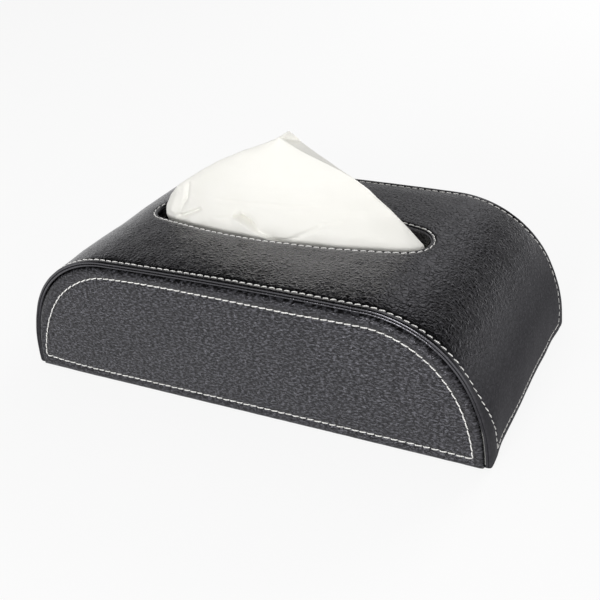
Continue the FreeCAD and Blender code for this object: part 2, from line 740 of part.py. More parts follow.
def pulled_tissue():
    """Sheet drawn up through the opening: a tent with its peak to one side of the middle."""
    top = size("dims.cover_height")
    rise = size("dims.tissue_rise")
    reach = size("dims.slot_length / 2 - dims.tissue_end_gap")
    front = -size("dims.slot_width / 2 - dims.tissue_rim_gap")
    depth = size("dims.tissue_depth")
    neck = size(f"{PACK_TOP} + dims.pack_rest_gap - dims.cover_height")
    # height over the crown, then left end, right end, front and depth as shares of the mouth
    rows = (
        (neck, 0.78, 0.78, 0.62, 0.35),
        (-size(WALL), 0.94, 0.94, 0.86, 0.80),
        (0.0, 0.98, 0.98, 0.93, 1.00),
        (0.10 * rise, 0.97, 0.94, 0.95, 1.00),
        (0.36 * rise, 0.76, 0.76, 0.72, 0.86),
        (0.66 * rise, 0.38, 0.52, 0.40, 0.62),
        (0.90 * rise, 0.03, 0.24, 0.10, 0.36),
        (rise, -0.06, 0.13, -0.04, 0.14),
    )
    wires = []
    for lift, left, right, ahead, deep in rows:
        near = front * ahead
        wires.append(tissue_section(top + lift, -reach * left, reach * right, near, near + depth * deep))
    feature = doc.addObject("Part::Feature", "pulled_tissue")
    feature.Label = "pulled_tissue"
    feature.Shape = Part.makeLoft(wires, True, True)
    return feature


pieces = [
    wrap_skin(),
    arch_layer("wrap_foam", FOAM_TOP, FOAM_UNDER, f"dims.cover_depth - 2 * {FOAM_TOP}", FOAM_TOP,
               "(dims.facing_thickness + dims.glue_line)"),
    arch_layer("wrap_board", BOARD_TOP, BOARD_UNDER, CORE_DEPTH, FOAM_TOP,
               "(dims.facing_thickness + dims.glue_line)"),
    arch_layer("wrap_lining", LINING_TOP, WALL, CORE_DEPTH, FOAM_TOP,
               "(dims.facing_thickness + dims.glue_line)"),
    rim_facing(),
    rim_thread(),
]

fronts = [
    front_panel_skin(),
    front_plate("front_panel_foam", CORE_INSET, PANEL_FOAM_FACE, "dims.panel_foam", FOAM_TOP),
    front_plate("front_panel_board", CORE_INSET, PANEL_BOARD_FACE, "dims.panel_board", FOAM_TOP),
    front_plate("front_panel_lining", PANEL_INSET, PANEL_LINING_FACE, "dims.lining_thickness", FOAM_TOP),
    front_panel_thread(),
    front_edge_thread(),
    front_corner_tape(),
]

hem_ends = f"({HALF_DEPTH} - dims.edge_stitch_inset - dims.thread_width)"
hem_face = f"({HALF_LENGTH} + dims.thread_lay)"
rights = [
    right_end_ledge(),
    *right_pads(),
    box(
        "right_hem_thread",
        (hem_face, f"{hem_face} + dims.thread_height"),
        (f"-{hem_ends}", hem_ends),
        ("dims.hem_stitch_height", "dims.hem_stitch_height + dims.thread_width"),
    ),
]

rears = [mirrored(piece.Label.replace("front", "rear"), piece, (0, 1, 0)) for piece in fronts]
lefts = [mirrored(piece.Label.replace("right", "left"), piece, (1, 0, 0)) for piece in rights]
pieces += fronts + rears + rights + lefts
pieces += loading_flap() + hinge_fixed_pieces()
pieces += [tissue_pack(), pulled_tissue()]
doc.recompute()

for item in doc.Objects:
    if "Invalid" in item.State or "Error" in item.State:
        raise RuntimeError(f"{item.Label} is not built: {item.State}")

os.makedirs("parts", exist_ok=True)
for piece in pieces:
    shape = piece.Shape
    if shape.isNull() or not shape.isValid() or not shape.Solids:
        raise RuntimeError(f"{piece.Label} has no valid solid")
    shape.exportStep(f"parts/{piece.Label}.step")
    bounds = shape.optimalBoundingBox()
    print(
        f"{piece.Label}: solids {len(shape.Solids)}, volume {shape.Volume:.1f}, "
        f"x {bounds.XMin:.2f} {bounds.XMax:.2f}, y {bounds.YMin:.2f} {bounds.YMax:.2f}, "
        f"z {bounds.ZMin:.2f} {bounds.ZMax:.2f}"
    )
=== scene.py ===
"""Looks of the arched tissue box cover: leatherette, stitching, tissue and the pieces inside."""

import json
import math

import bmesh
import bpy
import numpy as np
from mathutils import Matrix, Vector
from mathutils.geometry import delaunay_2d_cdt


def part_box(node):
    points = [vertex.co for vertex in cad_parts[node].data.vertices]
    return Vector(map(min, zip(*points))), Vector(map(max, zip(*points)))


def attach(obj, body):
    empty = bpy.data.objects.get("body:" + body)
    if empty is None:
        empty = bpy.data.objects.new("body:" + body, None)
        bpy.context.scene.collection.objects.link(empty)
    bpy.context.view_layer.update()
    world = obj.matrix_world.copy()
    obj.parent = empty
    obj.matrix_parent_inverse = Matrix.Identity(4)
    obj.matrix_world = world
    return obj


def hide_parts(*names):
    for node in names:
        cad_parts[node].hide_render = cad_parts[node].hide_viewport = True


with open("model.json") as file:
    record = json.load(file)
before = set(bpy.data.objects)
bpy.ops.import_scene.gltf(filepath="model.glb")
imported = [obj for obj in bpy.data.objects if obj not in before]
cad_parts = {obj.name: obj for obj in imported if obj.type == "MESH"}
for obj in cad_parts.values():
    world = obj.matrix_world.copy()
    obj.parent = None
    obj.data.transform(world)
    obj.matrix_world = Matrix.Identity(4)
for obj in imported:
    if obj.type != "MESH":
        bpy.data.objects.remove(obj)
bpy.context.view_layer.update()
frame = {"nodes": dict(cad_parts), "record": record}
MM = 0.001

# Lengths are in millimetres, apart from the lamps and the floor, in metres.

# The arch of the cover: side arc, shoulder arc and crown arc in the X-Z plane, and runs along it.
SIDE_CENTRE = (11.2, 0.0)
SIDE_RADIUS = 113.8
SHOULDER_CENTRE = (67.1937, 14.3369)
SHOULDER_RADIUS = 56.0
CROWN_CENTRE = (0.0, -2108.6)
CROWN_RADIUS = 2180.0
SIDE_TURN = math.atan2(SHOULDER_CENTRE[1], SHOULDER_CENTRE[0] - SIDE_CENTRE[0])
CROWN_TURN = math.atan2(SHOULDER_CENTRE[1] - CROWN_CENTRE[1], SHOULDER_CENTRE[0])
CROWN_RUN = CROWN_RADIUS * (math.pi / 2 - CROWN_TURN)
SHOULDER_RUN = SHOULDER_RADIUS * (CROWN_TURN - SIDE_TURN)
SIDE_START = CROWN_RUN + SHOULDER_RUN
HALF_RUN = SIDE_START + SIDE_RADIUS * SIDE_TURN
HALF_DEPTH = 63.3

# The oval opening: end arcs and flank arcs, in plan, and the patch of the wrap that holds it.
OVAL_END_CENTRE = 63.5
OVAL_END_RADIUS = 12.0
OVAL_FLANK_CENTRE = -219.5
OVAL_FLANK_RADIUS = 240.5
OVAL_TURN = math.atan2(-OVAL_FLANK_CENTRE, OVAL_END_CENTRE)
OVAL_END_RUN = OVAL_END_RADIUS * OVAL_TURN
OVAL_QUARTER = OVAL_END_RUN + OVAL_FLANK_RADIUS * (math.pi / 2 - OVAL_TURN)
RIM_STITCH = 2.0
PATCH_HALF_RUN = 84.0
PATCH_HALF_DEPTH = 30.0


# Shared shape helpers


def unit(value):
    """The value held between 0 and 1."""
    return np.clip(value, 0.0, 1.0)


def eased(value, start=0.0, end=1.0):
    """An S curve from 0 at the start to 1 at the end, level beyond them."""
    t = unit((value - start) / (end - start))
    return t * t * (3.0 - 2.0 * t)


def bell(value, width):
    """1 at 0, falling away on both sides within about a width."""
    return np.exp(-((value / width) ** 2))


def ripple(first, second, wave, seed):
    """A smooth uneven field between about -1 and 1 with waves of about the given length."""
    draw = np.random.RandomState(seed)
    total = np.zeros(np.broadcast(first, second).shape)
    waves = 7
    for _ in range(waves):
        heading = draw.uniform(0.0, 2.0 * math.pi)
        length = wave * draw.uniform(0.7, 1.5)
        shift = draw.uniform(0.0, 2.0 * math.pi)
        along = first * math.cos(heading) + second * math.sin(heading)
        total = total + np.sin(2.0 * math.pi * along / length + shift)
    return total / (waves / 2)


def ripples(first, second, rows):
    """Ripples put together, from rows of height, wave length and seed."""
    return sum(height * ripple(first, second, wave, seed) for height, wave, seed in rows)


def arch(run, inset=0.0):
    """X, Z and the outward normal at a run along the outer arch from its middle, and an inset below it."""
    side = np.where(np.asarray(run) < 0.0, -1.0, 1.0)
    far = np.abs(run)
    places = [far < CROWN_RUN, far > SIDE_START]
    turn = np.select(
        places,
        [math.pi / 2 - far / CROWN_RADIUS, SIDE_TURN - (far - SIDE_START) / SIDE_RADIUS],
        CROWN_TURN - (far - CROWN_RUN) / SHOULDER_RADIUS,
    )
    centre_x = np.select(places, [CROWN_CENTRE[0], SIDE_CENTRE[0]], SHOULDER_CENTRE[0])
    centre_z = np.select(places, [CROWN_CENTRE[1], SIDE_CENTRE[1]], SHOULDER_CENTRE[1])
    radius = np.select(places, [CROWN_RADIUS, SIDE_RADIUS], SHOULDER_RADIUS) - inset
    x = side * (centre_x + radius * np.cos(turn))
    z = centre_z + radius * np.sin(turn)
    return x, z, side * np.cos(turn), np.sin(turn)


RUN_TABLE = np.linspace(-SIDE_START, SIDE_START, 4001)
X_TABLE = arch(RUN_TABLE)[0]


def run_at(x):
    """The run along the outer arch at an X on the crown or shoulders."""
    return np.interp(x, X_TABLE, RUN_TABLE)


def oval(share, offset):
    """Plan point on a quarter of the opening's outline, at a share of its length and an offset outward."""
    run = np.asarray(share) * OVAL_QUARTER
    on_end = run < OVAL_END_RUN
    flank_turn = OVAL_TURN + (run - OVAL_END_RUN) / OVAL_FLANK_RADIUS
    turn = np.where(on_end, run / OVAL_END_RADIUS, flank_turn)
    radius = np.where(on_end, OVAL_END_RADIUS, OVAL_FLANK_RADIUS) + offset
    x = np.where(on_end, OVAL_END_CENTRE, 0.0) + radius * np.cos(turn)
    y = np.where(on_end, 0.0, OVAL_FLANK_CENTRE) + radius * np.sin(turn)
    return x, y


def oval_half_width(x):
    """Half the opening's width at an X, 0 beyond its ends."""
    line_x, line_y = oval(np.linspace(0.0, 1.0, 400), 0.0)
    return np.interp(np.abs(x), line_x[::-1], line_y[::-1], right=0.0)


def grid_quads(index):
    """Quads between neighbours in a table of point numbers; a negative number leaves its quads out."""
    corners = [index[:-1, :-1], index[:-1, 1:], index[1:, 1:], index[1:, :-1]]
    quads = np.stack(corners, -1).reshape(-1, 4)
    return quads[(quads >= 0).all(1)].tolist()


def closed_quads(index):
    """Quads between closed loops, one loop in each row of the table."""
    return grid_quads(np.column_stack([index, index[:, :1]]))


def inside_loop(points, loop):
    """True for each plan point that lies inside a closed loop."""
    x, y = points[:, :1], points[:, 1:]
    ax, ay = loop[:, 0], loop[:, 1]
    bx, by = np.roll(ax, -1), np.roll(ay, -1)
    rise = np.where(by == ay, 1e-9, by - ay)
    crosses = ((ay > y) != (by > y)) & (x < ax + (y - ay) / rise * (bx - ax))
    return crosses.sum(1) % 2 == 1


def lattice_fill(loop, spacing):
    """Plan points spread inside a loop, and triangles that join them to the loop's own points."""
    row_step, clear_of_loop = 0.866 * spacing, 0.55 * spacing
    low, high = loop.min(0), loop.max(0)
    rows = np.arange(low[1] + spacing, high[1], row_step)
    columns = np.arange(low[0], high[0], spacing)
    x = columns[None, :] + np.where(np.arange(len(rows)) % 2, spacing / 2, 0.0)[:, None]
    y = np.broadcast_to(rows[:, None], x.shape)
    spread = np.column_stack([x.ravel(), y.ravel()])
    spread = spread[inside_loop(spread, loop)]
    apart = np.sqrt(((spread[:, None, :] - loop[None, ::2, :]) ** 2).sum(-1)).min(1)
    spread = spread[apart > clear_of_loop]
    corners = [Vector(p) for p in np.vstack([loop, spread])]
    made = delaunay_2d_cdt(corners, [], [list(range(len(loop)))], 1, 1e-7)
    source = [group[0] for group in made[3]]
    return spread, [[source[i] for i in face] for face in made[2]]


def at_level(plan, level):
    """Points from plan points at one level."""
    return np.column_stack([plan, np.full(len(plan), level)])


def ringed_plate(loops, levels, spacing, first_spacing=None):
    """Points and faces of joined loops at their levels: the last is filled, the first where asked for."""
    count = len(loops[0])
    points = [at_level(loop, level) for loop, level in zip(loops, levels)]
    faces = closed_quads(np.arange(len(loops) * count).reshape(-1, count))
    start = len(loops) * count
    for number, apart in ((len(loops) - 1, spacing), (0, first_spacing)):
        if apart is None:
            continue
        spread, triangles = lattice_fill(loops[number], apart)
        shift = number * count
        faces += [[shift + i if i < count else start + i - count for i in face] for face in triangles]
        points.append(at_level(spread, levels[number]))
        start += len(spread)
    return np.vstack(points), faces


def walked(path):
    """The length along a line from its start to each of its points."""
    return np.concatenate([[0.0], np.cumsum(np.linalg.norm(np.diff(path, axis=0), axis=1))])


def read_along(at, lengths, rows):
    """Rows of values at given lengths along a line, from the rows at its points."""
    return np.column_stack([np.interp(at, lengths, column) for column in rows.T])


def rounded_loop(low, high, corner, count):
    """Evenly spread plan points round a rectangle with rounded corners."""
    turns = np.radians(np.linspace(0.0, 90.0, 7))
    left, right = low[0] + corner, high[0] - corner
    near, far = low[1] + corner, high[1] - corner
    parts = []
    for quarter, (x, y) in enumerate(((right, far), (left, far), (left, near), (right, near))):
        swing = turns + quarter * math.pi / 2
        parts.append(np.column_stack([x + corner * np.cos(swing), y + corner * np.sin(swing)]))
    rough = np.vstack(parts + [parts[0][:1]])
    lengths = walked(rough)
    return read_along(np.linspace(0.0, lengths[-1], count + 1)[:-1], lengths, rough)


def node_box(node):
    """The lowest and highest corner of a CAD node, in millimetres."""
    return [np.array(corner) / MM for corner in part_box(node)]


def new_object(name, data):
    """An object with the given data, in the scene."""
    made = bpy.data.objects.new(name, data)
    bpy.context.scene.collection.objects.link(made)
    return made


def new_piece(name, points, faces, material, body, heart=(0.0, 0.0, 20.0), grain=None, layers=None):
    """A smooth mesh piece from points in millimetres, its faces turned away from the heart point."""
    mesh = bpy.data.meshes.new(name)
    mesh.from_pydata((np.asarray(points, float) * MM).tolist(), [], faces)
    shell = bmesh.new()
    shell.from_mesh(mesh)
    bmesh.ops.recalc_face_normals(shell, faces=shell.faces)
    middle = Vector(heart) * MM
    lean = sum(f.calc_area() * f.normal.dot(f.calc_center_median() - middle) for f in shell.faces)
    if lean < 0.0:
        bmesh.ops.reverse_faces(shell, faces=shell.faces)
    shell.to_mesh(mesh)
    shell.free()
    mesh.polygons.foreach_set("use_smooth", [True] * len(mesh.polygons))
    if grain is not None:
        store = mesh.attributes.new("grain", "FLOAT_VECTOR", "POINT")
        flat = np.column_stack([*grain, np.zeros(len(points))])
        store.data.foreach_set("vector", flat.astype(np.float32).ravel())
    for layer, values in (layers or {}).items():
        store = mesh.attributes.new(layer, "FLOAT", "POINT")
        store.data.foreach_set("value", np.asarray(values, np.float32))
    mesh.materials.append(material)
    piece = new_object(name, mesh)
    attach(piece, body)
    return piece


# Materials


# The length of one band of the wave texture at a scale of 1.
WAVE_LENGTH = 0.314
LEATHER_IOR = 1.58
LEATHER_TINT = (0.93, 0.915, 1.0, 1.0)
DULL_ROUGHNESS = 0.72
TISSUE_GLOW = 0.14


def set_inputs(tree, node, values):
    """Sets a node's inputs, by name or number; a value that is a socket is linked."""
    for key, value in values.items():
        socket = node.inputs[key.replace("_", " ") if isinstance(key, str) else key]
        if isinstance(value, bpy.types.NodeSocket):
            tree.links.new(value, socket)
        else:
            socket.default_value = value


def add_node(tree, kind, settings=None, **inputs):
    """A shader node with its settings and inputs."""
    node = tree.nodes.new(kind)
    for key, value in (settings or {}).items():
        setattr(node, key, value)
    set_inputs(tree, node, inputs)
    return node


def new_material(name, colour, roughness, **inputs):
    """A material, its node tree and its shader, with the plain values set on the shader itself."""
    material = bpy.data.materials.new(name)
    material.use_nodes = True
    material.diffuse_color = (*colour, 1.0)
    tree = material.node_tree
    shader = tree.nodes["Principled BSDF"]
    set_inputs(tree, shader, {"Base Color": (*colour, 1.0), "Roughness": roughness, **inputs})
    return material, tree, shader


def ranged(tree, value, low, high, to_low=0.0, to_high=1.0):
    """A value mapped from one range to another, held at its ends."""
    limits = {"From_Min": low, "From_Max": high, "To_Min": to_low, "To_Max": to_high}
    return add_node(tree, "ShaderNodeMapRange", Value=value, **limits).outputs["Result"]


def total(tree, first, second, kind="ADD"):
    """Two values put together."""
    node = add_node(tree, "ShaderNodeMath", {"operation": kind})
    set_inputs(tree, node, {0: first, 1: second})
    return node.outputs[0]


def scaled(tree, value, factor):
    """A value times a factor."""
    return total(tree, value, factor, "MULTIPLY")


def noise(tree, place, scale, detail):
    """The value of a soft random pattern."""
    return add_node(tree, "ShaderNodeTexNoise", Vector=place, Scale=scale, Detail=detail).outputs["Fac"]


def object_place(tree):
    """The place on the object, in metres."""
    return add_node(tree, "ShaderNodeTexCoord").outputs["Object"]


def surface(tree, shader, factor, dark, light, height, strength, relief):
    """Gives a shader a colour between dark and light and a relief, and returns the colour."""
    ramp = add_node(tree, "ShaderNodeValToRGB", Fac=factor)
    for stop, colour in zip(ramp.color_ramp.elements, (dark, light)):
        stop.color = (*colour, 1.0)
    bump = add_node(tree, "ShaderNodeBump", Height=height, Strength=strength, Distance=relief * MM)
    tint = ramp.outputs["Color"]
    set_inputs(tree, shader, {"Base Color": tint, "Normal": bump.outputs["Normal"]})
    return tint


def mixed_shader(tree, factor, first, second):
    """One shader at a factor of 0, going over to another at 1."""
    node = add_node(tree, "ShaderNodeMixShader", Fac=factor)
    set_inputs(tree, node, {1: first.outputs[0], 2: second.outputs[0]})
    return node


def leather(name, dark, light, pebble, stretch, relief, roughness, gloss):
    """Pebbled leatherette: rounded grains parted by fine creases, smoother where the leather is taut, with
    painted highlights on the grains' crowns and painted shade in the creases and where it is taut.
    """
    sheen = {"Specular_IOR_Level": gloss, "IOR": LEATHER_IOR, "Specular_Tint": LEATHER_TINT}
    material, tree, shader = new_material(name, light, roughness[0], **sheen)
    place, taut_and_shade, dull = [
        add_node(tree, "ShaderNodeAttribute", {"attribute_name": layer}).outputs[output]
        for layer, output in (("grain", "Vector"), ("taut_and_shade", "Fac"), ("dull", "Fac"))
    ]
    wander = add_node(tree, "ShaderNodeTexNoise", Vector=place, Scale=0.5 / pebble, Detail=2.0)
    sway = (1.2 * pebble, 1.2 * pebble, 0.0)
    bent = add_node(tree, "ShaderNodeVectorMath", {"operation": "MULTIPLY_ADD"})
    set_inputs(tree, bent, {0: wander.outputs["Color"], 1: sway, 2: place})
    shrink = (1.0 / (pebble * stretch), 1.0 / pebble, 1.0)
    spread = add_node(tree, "ShaderNodeMapping", Vector=bent.outputs[0], Scale=shrink).outputs[0]
    edges = {"feature": "DISTANCE_TO_EDGE"}
    cells = add_node(tree, "ShaderNodeTexVoronoi", edges, Vector=spread, Scale=1.0).outputs["Distance"]
    crease = total(tree, ranged(tree, cells, 0.0, 0.42, 1.0, 0.0), 2.0, "POWER")
    grains = total(tree, 1.0, crease, "SUBTRACT")
    broad = noise(tree, place, 0.035, 3.0)
    tall = ranged(tree, noise(tree, spread, 0.9, 2.0), 0.38, 0.64)
    crowned = scaled(tree, grains, ranged(tree, tall, 0.0, 1.0, 0.35, 1.0))
    pebbled = total(tree, crowned, scaled(tree, noise(tree, spread, 2.2, 3.0), 0.3))
    height = scaled(tree, pebbled, ranged(tree, taut_and_shade, 0.0, 1.0, 1.0, 0.08))
    # Colour: painted highlights on the grains' crowns, painted shade in the creases and where the leather is
    # taut, and a random uneven tone.
    painted_light_and_tone = ranged(tree, noise(tree, spread, 1.15, 2.0), 0.48, 0.58)
    painted_light_and_tone = scaled(tree, painted_light_and_tone, ranged(tree, grains, 0.0, 1.0, 0.3, 1.0))
    painted_light_and_tone = scaled(tree, painted_light_and_tone, ranged(tree, broad, 0.3, 0.7, 0.85, 1.08))
    painted_light_and_tone = scaled(tree, painted_light_and_tone, ranged(tree, taut_and_shade, 0.0, 1.0, 1.0, 0.12))
    surface(tree, shader, painted_light_and_tone, dark, light, height, 1.0, relief)
    sleek = total(tree, scaled(tree, grains, 0.6), scaled(tree, broad, 0.4))
    rough = ranged(tree, sleek, 0.0, 1.0, roughness[1], roughness[0])
    set_inputs(tree, shader, {"Roughness": total(tree, rough, scaled(tree, dull, DULL_ROUGHNESS))})
    return material


def woven(name, dark, light, thread, rib=1.0):
    """Plain woven cloth: crossing threads of a given width, ribbed where rib is more than 1."""
    material, tree, shader = new_material(name, light, 0.88, Specular_IOR_Level=0.2, Sheen_Weight=0.15)
    place = object_place(tree)
    waves = []
    for axis, width in (("X", thread), ("Y", thread * rib), ("Z", thread)):
        bands = {"wave_type": "BANDS", "bands_direction": axis}
        shape = {"Scale": WAVE_LENGTH / (width * MM), "Distortion": 0.6, "Detail": 1.0}
        waves.append(add_node(tree, "ShaderNodeTexWave", bands, Vector=place, **shape).outputs["Fac"])
    cross = total(tree, scaled(tree, waves[0], waves[1]), waves[2])
    height = total(tree, cross, scaled(tree, noise(tree, place, 1500.0, 2.0), 0.6))
    surface(tree, shader, ranged(tree, height, 0.3, 2.2), dark, light, height, 0.7, 0.12)
    return material


def speckled(name, dark, light, grain, relief, roughness):
    """A pressed, foamed or brushed body: mottled colour and a rough surface of a given grain."""
    material, tree, shader = new_material(name, light, roughness, Specular_IOR_Level=0.25)
    place = object_place(tree)
    mottle = noise(tree, place, 0.3 / (grain * MM), 5.0)
    pits = add_node(tree, "ShaderNodeTexVoronoi", Vector=place, Scale=1.0 / (grain * MM))
    height = total(tree, mottle, scaled(tree, pits.outputs["Distance"], 0.5))
    level = ranged(tree, height, 0.4, 1.0)
    surface(tree, shader, level, dark, light, height, 0.8, relief)
    set_inputs(tree, shader, {"Roughness": ranged(tree, level, 0.0, 1.0, roughness, roughness - 0.12)})
    return material


def thread_material():
    """Off-white twisted polyester with fine fibres along it."""
    material, tree, shader = new_material("stitch_thread", (0.8, 0.78, 0.74), 0.55, Sheen_Weight=0.2)
    place = object_place(tree)
    fibre = noise(tree, place, 5000.0, 2.0)
    soil = noise(tree, place, 120.0, 2.0)
    mix = total(tree, scaled(tree, fibre, 0.5), scaled(tree, soil, 0.5))
    level = ranged(tree, mix, 0.3, 0.7)
    surface(tree, shader, level, (0.76, 0.75, 0.72), (0.94, 0.93, 0.91), fibre, 0.6, 0.05)
    return material


def tissue_material():
    """Thin soft paper: matt, slightly warm, with fine creping, letting some light through."""
    matt = {"Specular_IOR_Level": 0.15, "Sheen_Weight": 0.1}
    material, tree, shader = new_material("tissue_paper", (0.9, 0.89, 0.855), 0.92, **matt)
    place = object_place(tree)
    crepe = noise(tree, place, 900.0, 4.0)
    cloud = noise(tree, place, 60.0, 3.0)
    tint = surface(tree, shader, cloud, (0.935, 0.925, 0.87), (0.965, 0.955, 0.915), crepe, 0.35, 0.12)
    glow = add_node(tree, "ShaderNodeBsdfTranslucent", Color=tint)
    mixed = mixed_shader(tree, TISSUE_GLOW, shader, glow)
    set_inputs(tree, tree.nodes["Material Output"], {"Surface": mixed.outputs[0]})
    return material


# Each leather goes from its dark colour, painted shade in the creases and where taut, to its light colour,
# painted highlights on the grains' crowns.
WRAP_LEATHER = leather(
    "wrap_leather", (0.001,) * 3, (0.02, 0.0193, 0.023),
    pebble=1.9, stretch=1.1, relief=0.205, roughness=(0.17, 0.33), gloss=1.0,
)
PANEL_LEATHER = leather(
    "panel_leather", (0.002,) * 3, (0.112, 0.112, 0.126),
    pebble=1.0, stretch=2.1, relief=0.34, roughness=(0.2, 0.46), gloss=0.36,
)
THREAD = thread_material()
TISSUE = tissue_material()
TAPE = woven("tape_weave", (0.012, 0.012, 0.013), (0.06, 0.06, 0.065), 0.55, 2.5)

SLOT_MATERIALS = {
    "wrap_leatherette": WRAP_LEATHER,
    "panel_leatherette": PANEL_LEATHER,
    "foam": speckled("foam_cells", (0.3, 0.3, 0.28), (0.48, 0.48, 0.46), 0.7, 0.3, 0.95),
    "fibreboard": speckled("pressed_board", (0.15, 0.105, 0.06), (0.29, 0.22, 0.14), 0.9, 0.12, 0.9),
    "lining_cloth": woven("lining_weave", (0.016, 0.016, 0.018), (0.075, 0.075, 0.082), 0.7),
    "tape_cloth": TAPE,
    "thread": THREAD,
    "loop_pile": speckled("loop_pile", (0.008,) * 3, (0.05,) * 3, 0.5, 0.45, 0.95),
    "hook_strip": speckled("hook_strip", (0.012,) * 3, (0.045,) * 3, 0.8, 0.5, 0.6),
    "tissue": TISSUE,
}
for row in frame["record"]["subparts"]:
    node_mesh = frame["nodes"][row["node"]].data
    node_mesh.materials.clear()
    node_mesh.materials.append(SLOT_MATERIALS[row["material_slot"]])


# The wrap


STITCH_PITCH = 3.8
EDGE_STITCH = 60.4
FRONT_DRIFT, REAR_DRIFT = 7.0, 4.0
EDGE_DROOP = 0.2
ROLL_CENTRE, ROLL_RADIUS = 62.55, 0.75
CREASE_DEPTH, CREASE_INSET = [62.75, 62.45, 62.4, 62.5], [1.5, 1.53, 1.6, 1.68]
BEAD_CENTRE, BEAD_RADIUS = (62.7, 2.36), 0.65
LIP_DEPTH, LIP_INSET = [61.6, 59.6], [3.02, 3.02]

HEM_STITCH = 4.6
HEM_RADIUS = 1.2
HEM_START = HALF_RUN - HEM_RADIUS
HEM_TURN_INSET, HEM_TURN_DROP = [4.2, 4.9], [1.15, 0.4]
HEM_BOW = 0.9
CORNER_LIFT = 0.9

# Heights of the wrap's soft forms, and its dents as rows of height, wave length and seed.
CROWN_PUFF = 1.5
LEFT_FLATTENING = 0.75
SHOULDER_PUFF = 0.2
CORNER_FLARE = 1.1
STITCH_GROOVE, HEM_GROOVE = 0.34, 0.3
PUCKER = 0.09
EDGE_TUG = 0.07
WRAP_DENTS = [(0.16, 46.0, 3), (0.06, 17.0, 5)]

# How taut, and so smooth, the leather is at the wrap's ends, its bead, its rim and the panels' borders; the
# same values darken its colour there as painted shade.
END_TAUT_AND_SHADE, BEAD_TAUT_AND_SHADE, RIM_TAUT_AND_SHADE, BORDER_TAUT_AND_SHADE = 0.5, 0.7, 0.9, 0.4

# The rolled rim: distance outside the opening's outline, inset below the wrap, and drop down the wall.
RIM_REACH = 5.0
RIM_SECTION = [
    (4.2, 0, 0), (3.6, 0.02, 0), (3.1, 0.06, 0), (2.7, 0.14, 0), (2.35, 0.26, 0), (2, 0.34, 0),
    (1.7, 0.24, 0), (1.4, 0.12, 0), (1.1, 0.08, 0), (0.8, 0.16, 0), (0.5, 0.34, 0), (0.25, 0.64, 0),
    (0.08, 1.02, 0), (0, 1.45, 0), (0, 1.45, 1), (0.05, 1.45, 2.2), (0, 1.45, 3.5), (0, 1.45, 4.6),
    (0.15, 1.45, 5.1), (0.6, 1.45, 5.4), (1.6, 1.45, 5.4),
]


def edge_droop(depth):
    """How far the wrap sinks towards its front and rear edges."""
    return EDGE_DROOP * unit((np.abs(depth) - 46.0) / 16.0) ** 2


def edge_section():
    """Depth, inset and smoothness, which also sets painted shade, of the wrap's section, from the opening's
    patch to the lip of its edge.
    """
    beside_stitch = [58.7, 59.2, 59.6, 59.9, 60.15, 60.4, 60.65, 60.9, 61.2, 61.6, 62.0]
    broad = np.arange(PATCH_HALF_DEPTH + 1.0, 51.0, 1.3)
    field = np.concatenate([broad, np.arange(51.0, 58.4, 0.6), beside_stitch])
    roll = np.radians([14.0, 28.0, 42.0, 56.0, 70.0, 84.0, 98.0, 114.0, 130.0])
    roll_depth = ROLL_CENTRE + ROLL_RADIUS * np.sin(roll)
    roll_inset = EDGE_DROOP + ROLL_RADIUS * (1.0 - np.cos(roll))
    bead = np.radians([-78.0, -64.0, -50.0, -37.0, -24.0, -10.0, 6.0, 26.0, 50.0, 80.0])
    bead_depth = BEAD_CENTRE[0] + BEAD_RADIUS * np.cos(bead)
    bead_inset = BEAD_CENTRE[1] + BEAD_RADIUS * np.sin(bead)
    depth = np.concatenate([field, roll_depth, CREASE_DEPTH, bead_depth, LIP_DEPTH])
    inset = np.concatenate([edge_droop(field), roll_inset, CREASE_INSET, bead_inset, LIP_INSET])
    # These smoothness values of the roll, crease and bead also darken the colour as painted shade.
    sleek = np.where(np.arange(len(depth) - len(field)) < len(roll) + len(CREASE_DEPTH), 1.0, BEAD_TAUT_AND_SHADE)
    return depth, inset, np.concatenate([eased(field, 57.0, 61.0), sleek])


def stitch_depth(run, side):
    """How far from the middle the edge stitch runs: it drifts away from the edge towards the hem."""
    drift = np.where(np.asarray(side) < 0.0, FRONT_DRIFT, REAR_DRIFT)
    return EDGE_STITCH - drift * eased(np.abs(run), 126.0, 170.0)


def hem_columns():
    """Run, extra inset and drop of the wrap's columns, from the opening's patch out to the turned hem."""
    near = np.concatenate([np.arange(PATCH_HALF_RUN + 1.0, 165.0), np.arange(165.0, HEM_START - 0.1, 0.4)])
    plain = np.zeros(len(near))
    turn = np.radians([0.0, 18.0, 36.0, 54.0, 72.0, 90.0])
    inset = np.concatenate([plain, HEM_RADIUS * (1.0 - np.cos(turn)), HEM_TURN_INSET])
    drop = np.concatenate([plain, HEM_RADIUS * np.sin(turn), HEM_TURN_DROP])
    run = np.concatenate([near, np.full(len(drop) - len(near), HEM_START)])
    return run, inset, drop


